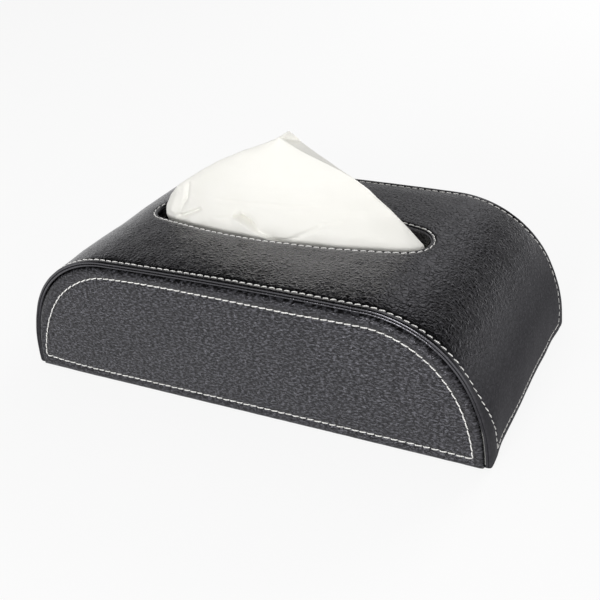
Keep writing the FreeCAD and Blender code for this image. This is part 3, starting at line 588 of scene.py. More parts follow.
def wrap_relief(run, depth):
    """How far the wrap lies below its plain form: padding, soft dents, puckers and stitch grooves."""
    away, far = np.abs(depth), np.abs(run)
    low = HALF_RUN - far
    beside = away - stitch_depth(run, np.sign(depth))
    dents = ripples(run, depth, WRAP_DENTS) * eased(away, HALF_DEPTH - 1.0, HALF_DEPTH - 5.0)
    pucker = PUCKER * np.cos(2.0 * math.pi * run / STITCH_PITCH) * bell(beside, 1.3)
    tug = EDGE_TUG * ripple(run, depth * 0.25, 9.0, 8) * bell(away - 57.0, 6.0)
    groove = STITCH_GROOVE * bell(beside, 0.65) * (low > 3.0)
    groove = groove + HEM_GROOVE * bell(low - HEM_STITCH, 0.8) * (beside < 0.0)
    crown = CROWN_PUFF * (1.0 - unit(away / EDGE_STITCH) ** 6) * eased(low, 0.0, 30.0)
    crown = crown * (1.0 - LEFT_FLATTENING * eased(run, -55.0, -105.0))
    shoulder = SHOULDER_PUFF * bell(far - 112.0, 42.0)
    flare = CORNER_FLARE * eased(away, 42.0, 60.0) * eased(far, 132.0, 156.0)
    return dents + pucker + tug + groove - crown - shoulder - flare


def wrap_point(run, depth, inset, drop):
    """Points of the wrap, with its lower corners rounded off and its hems bowed a little off the table."""
    x, z, _, _ = arch(run, inset)
    z = z - drop
    corner = CORNER_LIFT * unit((np.abs(depth) - 60.4) / 2.8) ** 2
    bow = HEM_BOW * unit(1.0 - (depth / 52.0) ** 2)
    z = z + corner * unit(1.0 - z / 7.0) + bow * unit(1.0 - z / 16.0) ** 2
    return np.stack([x, depth, z], -1)


def rim_outline(loop_run, loop_depth, offset):
    """Plan points round the opening that belong to the points of the patch's border."""
    run, depth = np.abs(loop_run), np.abs(loop_depth)
    quarter = PATCH_HALF_DEPTH + PATCH_HALF_RUN
    along_end = np.abs(run - PATCH_HALF_RUN) < 0.01
    x, y = oval(np.where(along_end, depth, quarter - run) / quarter, offset)
    return x * np.sign(loop_run), y * np.sign(loop_depth)


def rim_rings(loop_run, loop_depth):
    """Points, grain and smoothness, which also sets painted shade, of rings from the patch's border in to
    the opening and down its wall.
    """
    edge_x, edge_y = rim_outline(loop_run, loop_depth, RIM_REACH)
    edge_run = run_at(edge_x)
    plain = np.zeros(len(loop_run))
    rings = []
    for share in np.linspace(0.0, 1.0, 15)[1:]:
        share = eased(share) * 0.5 + share * 0.5
        run = loop_run + (edge_run - loop_run) * share
        depth = loop_depth + (edge_y - loop_depth) * share
        rings.append((run, depth, wrap_relief(run, depth), plain, plain))
    for offset, inset, drop in RIM_SECTION:
        x, y = rim_outline(loop_run, loop_depth, offset)
        run = run_at(x)
        taut_and_shade = RIM_TAUT_AND_SHADE * eased(offset, 4.2, 2.6)
        rings.append((run, y, wrap_relief(run, y) + inset, plain + drop, plain + taut_and_shade))
    run, y, inset, drop, taut_and_shade = [np.concatenate(part) for part in zip(*rings)]
    return wrap_point(run, y, inset, drop), [run, y - (drop + inset) * np.sign(y)], taut_and_shade


def both_sides(half, middle, sign=1.0):
    """A whole row of values from the half row on one side of a middle part."""
    return np.concatenate([sign * half[::-1], middle, half])


def wrap_cover():
    """The leatherette over the arch, turned under at its edges, its hems and the opening's rim."""
    half_depth, half_inset, half_smooth_and_shade = edge_section()
    middle = np.arange(-PATCH_HALF_DEPTH, PATCH_HALF_DEPTH + 0.5)
    depth = both_sides(half_depth, middle, -1.0)
    row_inset, row_smooth_and_shade = [both_sides(half, 0.0 * middle)[:, None] for half in (half_inset, half_smooth_and_shade)]
    half_run, hem_inset, hem_drop = hem_columns()
    centre = np.arange(-PATCH_HALF_RUN, PATCH_HALF_RUN + 0.5)
    run = both_sides(half_run, centre, -1.0)
    column_inset, drop = [both_sides(half, 0.0 * centre) for half in (hem_inset, hem_drop)]

    all_run, all_depth = np.meshgrid(run, depth)
    far = np.abs(all_run)
    inset = row_inset + column_inset * unit(1.0 - row_inset / 2.4) + wrap_relief(all_run, all_depth)
    points = wrap_point(all_run, all_depth, inset, drop).reshape(-1, 3)
    grain = np.stack([all_run.ravel(), all_depth.ravel()])
    # Smoothness at the edges and ends, which also darkens the colour as painted shade.
    taut_and_shade = np.maximum(row_smooth_and_shade, END_TAUT_AND_SHADE * eased(far, 122.0, 162.0)).ravel()
    dull = eased(far, 104.0, 144.0).ravel()

    inside = (far < PATCH_HALF_RUN - 0.5) & (np.abs(all_depth) < PATCH_HALF_DEPTH - 0.5)
    index = np.where(inside, -1, np.arange(len(points)).reshape(inside.shape))
    low, left = len(half_depth), len(half_run)
    high, right = low + len(middle) - 1, left + len(centre) - 1
    border = [
        index[low, left:right],
        index[low:high, right],
        index[high, left + 1 : right + 1][::-1],
        index[low + 1 : high + 1, left][::-1],
    ]
    loop = np.concatenate(border)
    ring_points, ring_grain, ring_taut_and_shade = rim_rings(*grain[:, loop])
    rings = len(points) + np.arange(len(ring_points)).reshape(-1, len(loop))
    faces = grid_quads(index) + closed_quads(np.vstack([loop, rings]))
    used = np.unique(faces)
    points = np.vstack([points, ring_points])[used]
    grain = np.hstack([grain, ring_grain])[:, used]
    layers = {
        "taut_and_shade": np.concatenate([taut_and_shade, ring_taut_and_shade])[used],
        "dull": np.concatenate([dull, 0.0 * ring_taut_and_shade])[used],
    }
    faces = np.searchsorted(used, faces).tolist()
    piece = new_piece("wrap_cover", points, faces, WRAP_LEATHER, "cover", grain=grain, layers=layers)
    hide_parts("wrap_skin", "rim_facing")


# The panels


PANEL_PROUD = 1.3
PANEL_STITCH = 7.0
PANEL_BASE_STITCH = 4.9
PANEL_DENTS = [(0.1, 34.0, 11), (0.05, 12.0, 12)]
ARCH_POINTS, BASE_POINTS = 361, 250

# Insets of the stitch line below the arch, by run, and its heights above the table, by X.
FRONT_STITCH = [
    (-166, 5), (-158, 5.7), (-150, 7), (-138, 9.2), (-125, 10.4), (-95, 10.6), (-72, 8.8),
    (-50, 8.2), (0, 9.2), (34, 9.8), (66, 8.8), (100, 9.1), (128, 9), (150, 7.7), (166, 7.1),
]
FRONT_BASE = [(-122, 6.8), (-108, 5.4), (-88, 4.7), (0, 4.9), (100, 4.9), (118, 4.4)]
REAR_STITCH = [(-166, 6.6), (-150, 7.6), (-126, 9.4), (0, 9.2), (126, 9.4), (150, 7.6), (166, 6.6)]
REAR_BASE = [(-120, 4.9), (120, 4.9)]

# Distance inside the panel's outline, height above its base, and depth behind its most forward level.
PANEL_SECTION = [
    (0.05, 0, 6.8), (0.05, 0, 4), (0.15, 0.02, 2.8), (0.4, 0.06, 1.85), (0.8, 0.15, 1.2),
    (1.3, 0.33, 0.72), (1.9, 0.62, 0.36), (2.6, 1.05, 0.12), (3.4, 1.7, 0), (4.2, 2.35, 0.03),
    (4.9, 2.95, 0.17), (5.5, 3.5, 0.36), (6, 3.95, 0.55), (6.4, 4.3, 0.74), (6.73, 4.62, 0.9),
    (7, 4.9, 0.97), (7.27, 5.1, 0.9), (7.6, 5.4, 0.76), (8, 5.75, 0.62), (8.6, 6.2, 0.5),
    (9.4, 6.8, 0.42), (10.6, 7.8, 0.37), (12.2, 9.1, 0.34), (14.2, 10.6, 0.33),
]


def table_curve(table, at):
    """Smooth values read from a short table of places and values."""
    places, values = np.array(table).T
    spread = np.linspace(places[0], places[-1], 400)
    plain = np.interp(spread, places, values)
    window = np.hanning(41)
    padded = np.concatenate([np.full(20, plain[0]), plain, np.full(20, plain[-1])])
    return np.interp(at, spread, np.convolve(padded, window / window.sum(), "valid"))


def panel_loop(inside, base, stitch, level):
    """X and Z of a closed loop inside the panel: under the arch, and along the base."""
    run = np.linspace(-HALF_RUN, HALF_RUN, 2401)
    edge = 3.1 - 0.9 * eased(np.abs(run), 110.0, 160.0)
    share = min(inside / PANEL_STITCH, 1.0)
    inset = edge + (table_curve(stitch, run) - edge) * share + max(inside - PANEL_STITCH, 0.0)
    x, z, _, _ = arch(run, inset)
    curve = np.column_stack([x, z])[z >= base * table_curve(level, x) / PANEL_BASE_STITCH]
    lengths = walked(curve)
    curve = read_along(np.linspace(0.0, lengths[-1], ARCH_POINTS), lengths, curve)
    lower = np.linspace(curve[-1, 0], curve[0, 0], BASE_POINTS + 2)[1:-1]
    floor = base * table_curve(level, lower) / PANEL_BASE_STITCH
    return np.vstack([curve, np.column_stack([lower, floor])])


def panel_cover(side, name, node, stitch, level):
    """The padded end panel on one side: puffed border, sunk stitch line and a flat field."""
    loops = [panel_loop(inside, base, stitch, level) for inside, base, _ in PANEL_SECTION]
    points, faces = ringed_plate(loops, [sunk for _, _, sunk in PANEL_SECTION], 2.6)
    x, z, sunk = points.T
    sunk = sunk + eased(sunk, 1.4, 0.7) * ripples(x, z, PANEL_DENTS)
    placed = np.column_stack([x, side * (HALF_DEPTH + PANEL_PROUD - sunk), z])
    border = np.repeat([inside for inside, _, _ in PANEL_SECTION], len(loops[0]))
    taut_and_shade = np.zeros(len(points))
    # The border's smoothness also darkens its colour as painted shade.
    taut_and_shade[: len(border)] = BORDER_TAUT_AND_SHADE * eased(border, 7.2, 5.2)
    piece = new_piece(name, placed, faces, PANEL_LEATHER, "cover", grain=[x, z], layers={"taut_and_shade": taut_and_shade})
    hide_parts(node)


# Stitching


STITCH_RISE, STITCH_SINK = 0.62, 0.36
STITCH_SLANT = 0.42
STITCH_UNEVEN = 0.05
PLY_RADIUS, PLY_SPREAD = 0.205, 0.17
PLY_TWIST = 1.7
PLY_SIDES = 6

# How far the stitches of the rim and of the panels sit below the leather's plain or most forward level.
RIM_SEAT, PANEL_SEAT = 0.3, 0.9


def swung(first, second, turn):
    """Directions that turn from a first one towards a second one."""
    return np.cos(turn)[..., None] * first + np.sin(turn)[..., None] * second


def stitch_rows(name, lines, node, body, fill, girth):
    """Rows of two-ply stitches along lines with surface normals, dipping in at their ends."""
    shares = np.linspace(-0.5, 0.5, 11)
    ends = np.abs(2.0 * shares)
    height = girth * (STITCH_RISE * (1.0 - ends**4) - STITCH_SINK)
    radius = PLY_RADIUS * girth * (1.0 - 0.35 * ends**6)
    around = np.linspace(0.0, 2.0 * math.pi, PLY_SIDES + 1)[:-1]
    plies = []
    for path, normals, closed in lines:
        normals = np.broadcast_to(normals, path.shape)
        if closed:
            path, normals = [np.vstack([rows, rows[:1]]) for rows in (path, normals)]
        lengths = walked(path)
        count = max(1, round(lengths[-1] / STITCH_PITCH))
        pitch = lengths[-1] / count
        for number in range(count):
            at = (number + 0.5) * pitch + shares * pitch * fill
            spot = read_along(at, lengths, path)
            out = read_along(at, lengths, normals)
            out = out / np.linalg.norm(out, axis=1)[:, None]
            along = np.gradient(spot, axis=0)
            along = along / np.linalg.norm(along, axis=1)[:, None]
            across = np.cross(out, along)
            uneven = STITCH_UNEVEN * math.sin(number * 2.4)
            line = spot + out * (height + uneven)[:, None]
            line = line + across * (STITCH_SLANT * shares + uneven)[:, None]
            ring = radius[:, None, None] * swung(out[:, None], across[:, None], around)
            for ply in (0.0, math.pi):
                twist = 2.0 * math.pi * shares * pitch * fill / PLY_TWIST + ply + number
                core = line + PLY_SPREAD * girth * swung(out, across, twist)
                plies.append(core[:, None] + ring)
    points = np.array(plies)
    faces = []
    for table in np.arange(points.size // 3).reshape(points.shape[:3]):
        faces += closed_quads(table) + [table[0].tolist(), table[-1].tolist()]
    piece = new_piece(name, points.reshape(-1, 3), faces, THREAD, body)
    if node:
        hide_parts(node)


def edge_line(side):
    """The stitch line along the wrap's front or rear edge."""
    run = np.linspace(-(HALF_RUN - HEM_STITCH), HALF_RUN - HEM_STITCH, 700)
    depth = side * stitch_depth(run, side)
    _, _, out_x, out_z = arch(run)
    normals = np.column_stack([out_x, np.full(len(run), side * 0.1), out_z])
    return wrap_point(run, depth, edge_droop(depth) + wrap_relief(run, depth), 0.0), normals, False


def hem_line(side):
    """The stitch line along a lower end of the wrap."""
    end = side * (HALF_RUN - HEM_STITCH)
    depth = np.linspace(-stitch_depth(end, -1.0), stitch_depth(end, 1.0), 200)
    run = np.full(len(depth), end)
    return wrap_point(run, depth, edge_droop(depth) + wrap_relief(run, depth), 0.0), (side, 0.0, 0.0), False


def rim_line():
    """The closed stitch line round the opening."""
    x, y = oval(np.linspace(0.0, 1.0, 200), RIM_STITCH)
    x = np.concatenate([x, -x[::-1][1:], -x[1:], x[::-1][1:-1]])
    y = np.concatenate([y, y[::-1][1:], -y[1:], -y[::-1][1:-1]])
    run = run_at(x)
    _, _, out_x, out_z = arch(run)
    normals = np.column_stack([out_x, np.zeros(len(run)), out_z])
    return wrap_point(run, y, RIM_SEAT + wrap_relief(run, y), 0.0), normals, True


def panel_lines(side, stitch, level):
    """The stitch line inside a panel's border: over the arch, and along the base."""
    loop = panel_loop(PANEL_STITCH, PANEL_BASE_STITCH, stitch, level)
    forward = side * (HALF_DEPTH + PANEL_PROUD - PANEL_SEAT)
    lines = []
    for part in (loop[:ARCH_POINTS], np.vstack([loop[ARCH_POINTS - 1 :], loop[:1]])):
        placed = np.column_stack([part[:, 0], np.full(len(part), forward), part[:, 1]])
        lines.append((placed, (0.0, side, 0.0), False))
    return lines


# The base flap


FLAP_STITCH = 5.0
FLAP_LEVEL = 1.5
HINGE_LEAF = 14.0

# Distance inside the outline, and height above the table: the flap's skin turned up round its board, and
# the pull tab from its upper face over its edge to its lower face.
FLAP_SECTION = [
    (0, 4.75), (0, 3.2), (0.06, 2.6), (0.22, 2.1), (0.5, 1.76), (0.9, 1.58), (1.5, 1.52), (3.2, 1.5),
    (5.5, 1.5),
]
TAB_SECTION = [
    (1.2, 1.42), (0.5, 1.42), (0.12, 1.38), (0, 1.24), (0, 1), (0.12, 0.88), (0.5, 0.84), (1.2, 0.84),
]


def node_plate(node, section, corner, count, *spacings):
    """Points and faces of a plate in the outline of a CAD node, with a rounded section at its edge."""
    low, high = node_box(node)
    loops = [
        rounded_loop(low[:2] + inside, high[:2] - inside, max(corner - inside, 0.5), count)
        for inside, _ in section
    ]
    return ringed_plate(loops, [level for _, level in section], *spacings)


def flap_cover():
    """The leatherette under the base flap, turned up round the edges of its board."""
    points, faces = node_plate("flap_skin", FLAP_SECTION, 1.8, 480, 3.0)
    x, y, level = points.T
    flat = eased(level, FLAP_LEVEL + 0.06, FLAP_LEVEL)
    points[:, 2] += flat * (0.05 + 0.06 * ripple(x, y, 40.0, 51))
    piece = new_piece("flap_cover", points, faces, PANEL_LEATHER, "base_flap", (0.0, 0.0, 40.0), [x, y])
    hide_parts("flap_skin")


def under_line(path, level):
    """A closed stitch line under the flap, from plan points at one level."""
    return at_level(path, level), (0.0, 0.0, -1.0), True


def flap_line():
    """The closed stitch line under the flap, in front of the hinge leaf."""
    low, high = node_box("flap_skin")
    rear = high[:2] - np.array((FLAP_STITCH, FLAP_STITCH + HINGE_LEAF))
    return under_line(rounded_loop(low[:2] + FLAP_STITCH, rear, 4.0, 700), FLAP_LEVEL)


def pull_tab():
    """The ribbon under the flap's front edge: sewn down at its inner end, its free end a little curled."""
    points, faces = node_plate("flap_pull_tab", TAB_SECTION, 3.2, 160, 1.5, 1.5)
    x, y, _ = points.T
    points[:, 2] -= eased(y, -36.0, -50.0) * (0.06 + 0.06 * np.sin(x * 0.35))
    piece = new_piece("pull_tab_ribbon", points, faces, TAPE, "base_flap", (0.0, -36.6, 1.13))
    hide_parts("flap_pull_tab")
    line = under_line(rounded_loop((-6.4, -32.6), (6.4, -25.6), 0.5, 80), 0.9)
    stitch_rows("pull_tab_stitches", [line], None, "base_flap", 0.8, 0.6)


# The tissue


# Height and X of the tissue's left ridge, of its rear right edge, and of its front right edge.
RIDGE = [
    (44, -58), (52, -63), (60, -67.4), (66, -70.6), (69, -71.8), (73.5, -71.2), (79.6, -67.8),
    (85, -62.8), (89.9, -55.2), (96, -45), (101.4, -35.3), (108.1, -20.4), (113, -7.5), (116.4, -0.1),
    (118.6, 3.6), (120.6, 6.6),
]
REAR_EDGE = [
    (44, 62), (52, 68), (62, 72), (68, 73.6), (70, 73), (78.4, 65), (86.5, 56.6),
    (91.5, 50.2), (95, 46.6), (99.7, 39.4), (104.2, 31.8), (111.4, 21.4), (119.2, 10), (120.6, 7),
]
FRONT_EDGE = [
    (44, 62), (52, 68), (62, 72), (68, 73.5), (70, 72.9), (78.4, 64.9), (86.5, 56.4),
    (91.5, 49), (95, 44.6), (99.7, 38.6), (103.4, 31.6), (107.4, 21.4), (111.1, 12.1), (114.1, 6.2),
    (117.2, 1.2), (118.6, 3.6), (120.6, 6.6),
]
RIM_LEVEL = 70.8
TISSUE_LOW = 46.5
TISSUE_TOP = 120.5
CREST = 16.6

# The rear layer's tip leans back, and moves aside and down by shares of that lean.
TIP_LEAN, TIP_ASIDE, TIP_SINK = 0.8, 0.57, 0.62

# The dart at the lower left: its line, and the heights of its hollow, its raised edge and its lap.
DART_START, DART_END = (-23.0, 78.3), (1.6, 69.7)
DART_SUNK, DART_RAISED, DART_LAP = 9.0, 0.9, 0.9

# Creases: start and end in X and Z, width and depth. Crumples: height, wave length and seed.
FRONT_CREASES = [
    ((-54.5, 91), (-54.7, 78), 1.5, -2), ((-54.2, 82.5), (-59.6, 69.8), 0.9, -2.2),
    ((-60.5, 70.6), (-41, 79.4), 0.8, -2.2), ((-61.5, 84), (-63.5, 72), 2.4, 1.2),
    ((-52, 70.5), (-36, 76), 3.2, 0.6), ((-35, 76.2), (-19, 78.8), 0.8, -0.5),
    ((-2, 69), (17.5, 73.5), 0.8, -0.9), ((10, 71.6), (31, 81), 1.1, -0.7),
    ((24, 79.8), (38, 81.2), 0.9, -0.5), ((-44, 84.5), (36, 88), 0.9, -0.4),
    ((-30, 91), (34, 93.5), 2.4, 0.3), ((46, 91), (66, 71.5), 3, -0.5),
]
FRONT_CRUMPLES = [(0.3, 24.0, 21), (0.05, 9.0, 22)]
REAR_CREASES = [
    ((3, 118), (-38, 70), 3.4, 1.3), ((5, 117), (-8, 70), 2.6, -1.1),
    ((8, 117), (22, 70), 3, 1.2), ((14, 108), (46, 71), 2.6, -1),
    ((-34, 98), (-54, 72), 2.4, -0.9),
]
REAR_CRUMPLES = [(0.45, 24.0, 31)]


def tissue_front(x, z, share):
    """How far the tissue's front layer stands forward of the middle plane, at a share of its width."""
    high = unit((z - RIM_LEVEL) / (118.0 - RIM_LEVEL))
    rise = np.sin(math.pi * np.clip(share, 0.0, 0.5)) ** 0.7
    fall = 1.0 - unit(2.0 * share - 1.0) ** (3.0 - 1.4 * eased(z, 84.0, 100.0))
    above = CREST * (1.0 - high**1.15) * rise * fall
    rim = np.maximum(oval_half_width(x) - 4.3, 0.4)
    narrowing = 0.38 + 0.62 * eased(z, TISSUE_LOW, RIM_LEVEL)
    below = rim * narrowing * np.sqrt(unit(1.0 - (2.0 * share - 1.0) ** 24))
    return below + (above - below) * eased(z, RIM_LEVEL, RIM_LEVEL + 13.0)


def beside_line(x, z, start, end):
    """The way along and across a line from start to end, its direction and its length."""
    span = np.array(end) - np.array(start)
    length = np.linalg.norm(span)
    right, up = span / length
    along = (x - start[0]) * right + (z - start[1]) * up
    across = (z - start[1]) * right - (x - start[0]) * up
    return along, across, right, up, length


def dart(x, z):
    """The overlapped pleat: forward, X and Z shifts of its flap and of the sheet tucked behind."""
    along, across, right, up, length = beside_line(x, z, DART_START, DART_END)
    begin = eased(along, 0.0, 5.0)
    finish = eased(along, length + 5.0, length - 1.0)
    hollow = begin * (0.2 + 0.8 * eased(along, 17.0, 8.0)) * finish
    reach = 2.0 + 0.1 * np.clip(along, 0.0, 30.0)
    sunk = -DART_SUNK * hollow * np.exp(-np.clip(across, 0.0, 60.0) / reach)
    raised = DART_RAISED * bell(across, 6.0) * begin * finish
    step = eased(across, -0.1, 0.3)
    lap = DART_LAP * hollow * bell(across, 1.4) * (1.0 - step)
    return raised * (1.0 - step) + sunk * step, -lap * up, lap * right


def folds(x, z, crumples, creases):
    """Crumples of a layer of the tissue, and soft creases that fade at both ends."""
    height = ripples(x, z, crumples)
    for start, end, width, depth in creases:
        along, across, _, _, length = beside_line(x, z, start, end)
        fade = eased(along, 0.0, 0.25 * length) * eased(along, length, 0.75 * length)
        height = height + depth * bell(across, width) * fade
    return height


def pulled_sheet():
    """The tissue in the opening: one sheet folded over its left ridge, open along its right edge."""
    bands = [(TISSUE_LOW, 65.0, 10), (65.5, 116.8, 150), (117.3, TISSUE_TOP, 7)]
    z = np.concatenate([np.linspace(*band) for band in bands])
    tables = [np.array(table).T for table in (RIDGE, REAR_EDGE, FRONT_EDGE)]
    left, rear_end, front_end = [np.interp(z, *table)[:, None] for table in tables]
    share = np.concatenate([np.linspace(0.0, 1.0, 26)[:-1] ** 2 * 0.12, np.linspace(0.12, 1.0, 280)])
    level = np.broadcast_to(z[:, None], (len(z), len(share)))

    front_x = left + np.maximum(front_end - left, 0.0) * share
    stand = tissue_front(front_x, level, share)
    forward, aside, upward = dart(front_x, level)
    relief = folds(front_x, level, FRONT_CRUMPLES, FRONT_CREASES) + forward
    front_y = -stand - relief * eased(stand, 0.4, 4.4)

    rear_x = left + np.maximum(rear_end - left, 0.05) * share
    high = unit((level - RIM_LEVEL) / (TISSUE_TOP - RIM_LEVEL))
    closing = 1.0 - share**6 * (1.0 - eased(level, 88.0, 102.0))
    closing = closing * (1.0 - bell(rear_x - front_end, 7.0) * eased(level, 86.0, 94.0))
    bulge = np.sqrt(unit(share / 0.06)) * (3.4 - 2.9 * high) * closing
    calm = eased(share, 0.0, 0.1) * closing * (1.0 - 0.8 * high)
    lean = TIP_LEAN * eased(level, 96.0, 106.0) * np.clip(rear_x - front_end, 0.0, 12.0)
    rear_y = 0.2 + bulge + folds(rear_x, level, REAR_CRUMPLES, REAR_CREASES) * calm + lean

    x = np.hstack([(front_x + aside)[:, ::-1], (rear_x - TIP_ASIDE * lean)[:, 1:]])
    y = np.hstack([front_y[:, ::-1], rear_y[:, 1:]])
    heights = np.hstack([(level + upward)[:, ::-1], (level - TIP_SINK * lean)[:, 1:]])
    points = np.stack([x, y, heights], -1).reshape(-1, 3)
    faces = grid_quads(np.arange(len(points)).reshape(x.shape))
    piece = new_piece("pulled_sheet_paper", points, faces, TISSUE, "pulled_sheet", (0.0, -6.0, 80.0))
    sheet = bmesh.new()
    sheet.from_mesh(piece.data)
    bmesh.ops.remove_doubles(sheet, verts=sheet.verts, dist=0.02 * MM)
    sheet.to_mesh(piece.data)
    sheet.free()
    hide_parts("pulled_tissue")


PACK_LAYERS = 34
LAYER_LEVELS = 3
LAYER_GROOVE = 0.45


def folded_stack():
    """The pack of folded tissues: layered sides, soft corners and a slightly wavy top."""
    low, high = node_box("tissue_pack")
    half = high[:2] - 0.3
    base, top = low[2] + 0.1, high[2] - 0.4
    outline = rounded_loop(-half, half, 3.0, 300)
    levels = np.linspace(base, top, PACK_LAYERS * LAYER_LEVELS + 1)
    loops = []
    for number in range(len(levels)):
        layer, within = divmod(number, LAYER_LEVELS)
        sunk = LAYER_GROOVE if within == 0 else 0.0
        sway = 0.25 * math.sin(layer * 1.9) + 0.2 * math.sin(layer * 0.7)
        loops.append(outline * (half - 0.5 - sunk + sway * np.array((0.4, -0.4))) / half)
    points, faces = ringed_plate(loops, levels, 5.0, 7.0)
    x, y, level = points.T
    upper = (np.arange(len(points)) >= len(levels) * len(outline)) & (level > base)
    points[upper, 2] += 0.3 * ripple(x[upper], y[upper], 60.0, 41) - 0.1
    piece = new_piece("folded_stack", points, faces, TISSUE, "cover", (0.0, 0.0, 25.0))
    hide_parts("tissue_pack")


# Camera, lights and floor


CAMERA_TARGET = (29.848, -45.622, 57.586)
CAMERA_DISTANCE = 426.204
CAMERA_AZIMUTH, CAMERA_ELEVATION, CAMERA_ROLL = 0.52, 0.516, -0.0998
FOCAL_PIXELS, PHOTO_PIXELS = 930.581, 600.0
SENSOR_WIDTH = 36.0

# Name, place, side, power, and whether the leather mirrors the lamp.
LAMPS = [
    ("key_lamp", (0.0, -1.19, 0.38), 0.36, 8.9, True),
    ("fill_lamp", (0.8, -0.95, 0.75), 0.7, 3.5, True),
    ("rear_lamp", (0.35, 1.1, 0.6), 0.6, 6.0, False),
]
LAMP_TARGET = (0.0, 0.0, 0.05)

WHITE = (1.0, 1.0, 1.0, 1.0)
DIFFUSE_FILL = 0.42
FLOOR_SHOWN = 0.86
FLOOR_REACH, FLOOR_LEVEL = 6.0, -0.0003

# What the leather mirrors: heights between which the sky goes from white to dark, and a window behind the
# object, above its far edge, with the cosines at its rim and core.
SKY_HEIGHTS = (0.4, 0.49)
SKY_DARK = (0.02, 0.02, 0.021, 1.0)
WINDOW_HEADING = (-0.02, 0.79, 0.613)
WINDOW_RIM, WINDOW_CORE = 0.955, 0.99
WINDOW_LEVEL = 0.85


def photo_camera():
    """The camera at the photograph's viewing angle."""
    data = bpy.data.cameras.new("photo_camera")
    data.sensor_width = SENSOR_WIDTH
    data.lens = FOCAL_PIXELS / PHOTO_PIXELS * SENSOR_WIDTH
    data.clip_start = 0.01
    camera = new_object("photo_camera", data)
    camera.matrix_world = (
        Matrix.Translation(Vector(CAMERA_TARGET) * MM)
        @ Matrix.Rotation(CAMERA_AZIMUTH, 4, "Z")
        @ Matrix.Rotation(math.pi / 2 - CAMERA_ELEVATION, 4, "X")
        @ Matrix.Rotation(CAMERA_ROLL, 4, "Z")
        @ Matrix.Translation((0.0, 0.0, CAMERA_DISTANCE * MM))
    )
    bpy.context.scene.camera = camera


def soft_lamp(name, place, size, power, mirrored):
    """A square soft box that faces the object."""
    data = bpy.data.lights.new(name, "AREA")
    data.size = size
    data.energy = power
    lamp = new_object(name, data)
    lamp.visible_glossy = mirrored
    lamp.location = place
    lamp.rotation_mode = "QUATERNION"
    lamp.rotation_quaternion = (Vector(LAMP_TARGET) - Vector(place)).to_track_quat("-Z", "Y")


def seen_share(tree, share):
    """A share for rays from the camera, or from glossy or clear surfaces, and 0 for the rest."""
    rays = add_node(tree, "ShaderNodeLightPath").outputs
    seen = total(tree, rays["Is Camera Ray"], rays["Is Glossy Ray"], "MAXIMUM")
    seen = total(tree, seen, rays["Is Transmission Ray"], "MAXIMUM")
    return scaled(tree, seen, share)


def surroundings():
    """White for the camera, an even fill for matt surfaces, and a graded sky for the leather."""
    world = bpy.data.worlds.new("studio_world")
    bpy.context.scene.world = world
    world.use_nodes = True
    tree = world.node_tree
    tree.nodes.clear()
    heading = add_node(tree, "ShaderNodeTexCoord").outputs["Generated"]
    parts = add_node(tree, "ShaderNodeSeparateXYZ", Vector=heading).outputs
    sky = add_node(tree, "ShaderNodeValToRGB", Fac=parts["Z"])
    for stop, height, colour in zip(sky.color_ramp.elements, SKY_HEIGHTS, (WHITE, SKY_DARK)):
        stop.position = height
        stop.color = colour
    level = ranged(tree, parts["X"], -0.1, 0.4, 0.42, 0.25)
    level = total(tree, level, ranged(tree, parts["X"], -0.8, -0.55, 0.25, 0.0))
    toward = add_node(tree, "ShaderNodeVectorMath", {"operation": "DOT_PRODUCT"})
    set_inputs(tree, toward, {0: heading, 1: WINDOW_HEADING})
    window = ranged(tree, toward.outputs["Value"], WINDOW_RIM, WINDOW_CORE, 0.0, WINDOW_LEVEL)
    mirrored = total(tree, scaled(tree, sky.outputs["Color"], level), window)
    straight = add_node(tree, "ShaderNodeLightPath").outputs["Is Camera Ray"]
    shown = total(tree, mirrored, straight, "MAXIMUM")
    seen = add_node(tree, "ShaderNodeBackground", Color=WHITE, Strength=shown)
    fill = add_node(tree, "ShaderNodeBackground", Color=WHITE, Strength=DIFFUSE_FILL)
    mixed = mixed_shader(tree, seen_share(tree, 1.0), fill, seen)
    add_node(tree, "ShaderNodeOutputWorld", Surface=mixed.outputs[0])


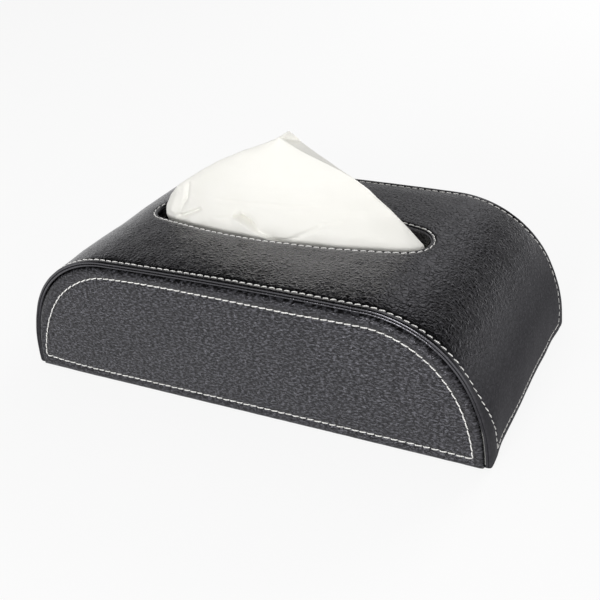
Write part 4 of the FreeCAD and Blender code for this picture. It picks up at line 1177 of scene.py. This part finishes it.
def pale_floor():
    """A pale floor that keeps the shadow and is clear from below."""
    material, tree, shader = new_material("pale_floor", (0.9, 0.9, 0.9), 0.9, Specular_IOR_Level=0.1)
    light = add_node(tree, "ShaderNodeEmission", Color=WHITE, Strength=1.0)
    mixed = mixed_shader(tree, seen_share(tree, FLOOR_SHOWN), shader, light)
    under = add_node(tree, "ShaderNodeNewGeometry").outputs["Backfacing"]
    sided = mixed_shader(tree, under, mixed, add_node(tree, "ShaderNodeBsdfTransparent"))
    set_inputs(tree, tree.nodes["Material Output"], {"Surface": sided.outputs[0]})
    mesh = bpy.data.meshes.new("pale_floor")
    ends = ((-1, -1), (1, -1), (1, 1), (-1, 1))
    corners = [(x * FLOOR_REACH, y * FLOOR_REACH, FLOOR_LEVEL) for x, y in ends]
    mesh.from_pydata(corners, [], [(0, 1, 2, 3)])
    mesh.materials.append(material)
    floor = new_object("pale_floor", mesh)


PANELS = [("front", -1.0, FRONT_STITCH, FRONT_BASE), ("rear", 1.0, REAR_STITCH, REAR_BASE)]

wrap_cover()
for end, side, stitch, level in PANELS:
    panel_cover(side, f"{end}_panel_cover", f"{end}_panel_skin", stitch, level)

# Seam, its lines, the share of each pitch that the thread covers, and the thread's girth.
seams = [(f"{end}_edge", [edge_line(side)], 0.86, 0.8) for end, side, _, _ in PANELS]
seams += [(f"{end}_panel", panel_lines(side, *tables), 1.0, 1.0) for end, side, *tables in PANELS]
seams += [("rim", [rim_line()], 0.86, 0.8)]
seams += [(f"{end}_hem", [hem_line(side)], 0.86, 0.75) for end, side in (("right", 1.0), ("left", -1.0))]
for seam, lines, fill, girth in seams:
    stitch_rows(f"{seam}_stitches", lines, f"{seam}_thread", "cover", fill, girth)
flap_cover()
stitch_rows("flap_stitches", [flap_line()], "flap_thread", "base_flap", 0.86, 1.0)
pull_tab()
pulled_sheet()
folded_stack()
photo_camera()
surroundings()
pale_floor()
for lamp_row in LAMPS:
    soft_lamp(*lamp_row)
bpy.context.scene.view_settings.view_transform = "Standard"

bpy.context.view_layer.update()
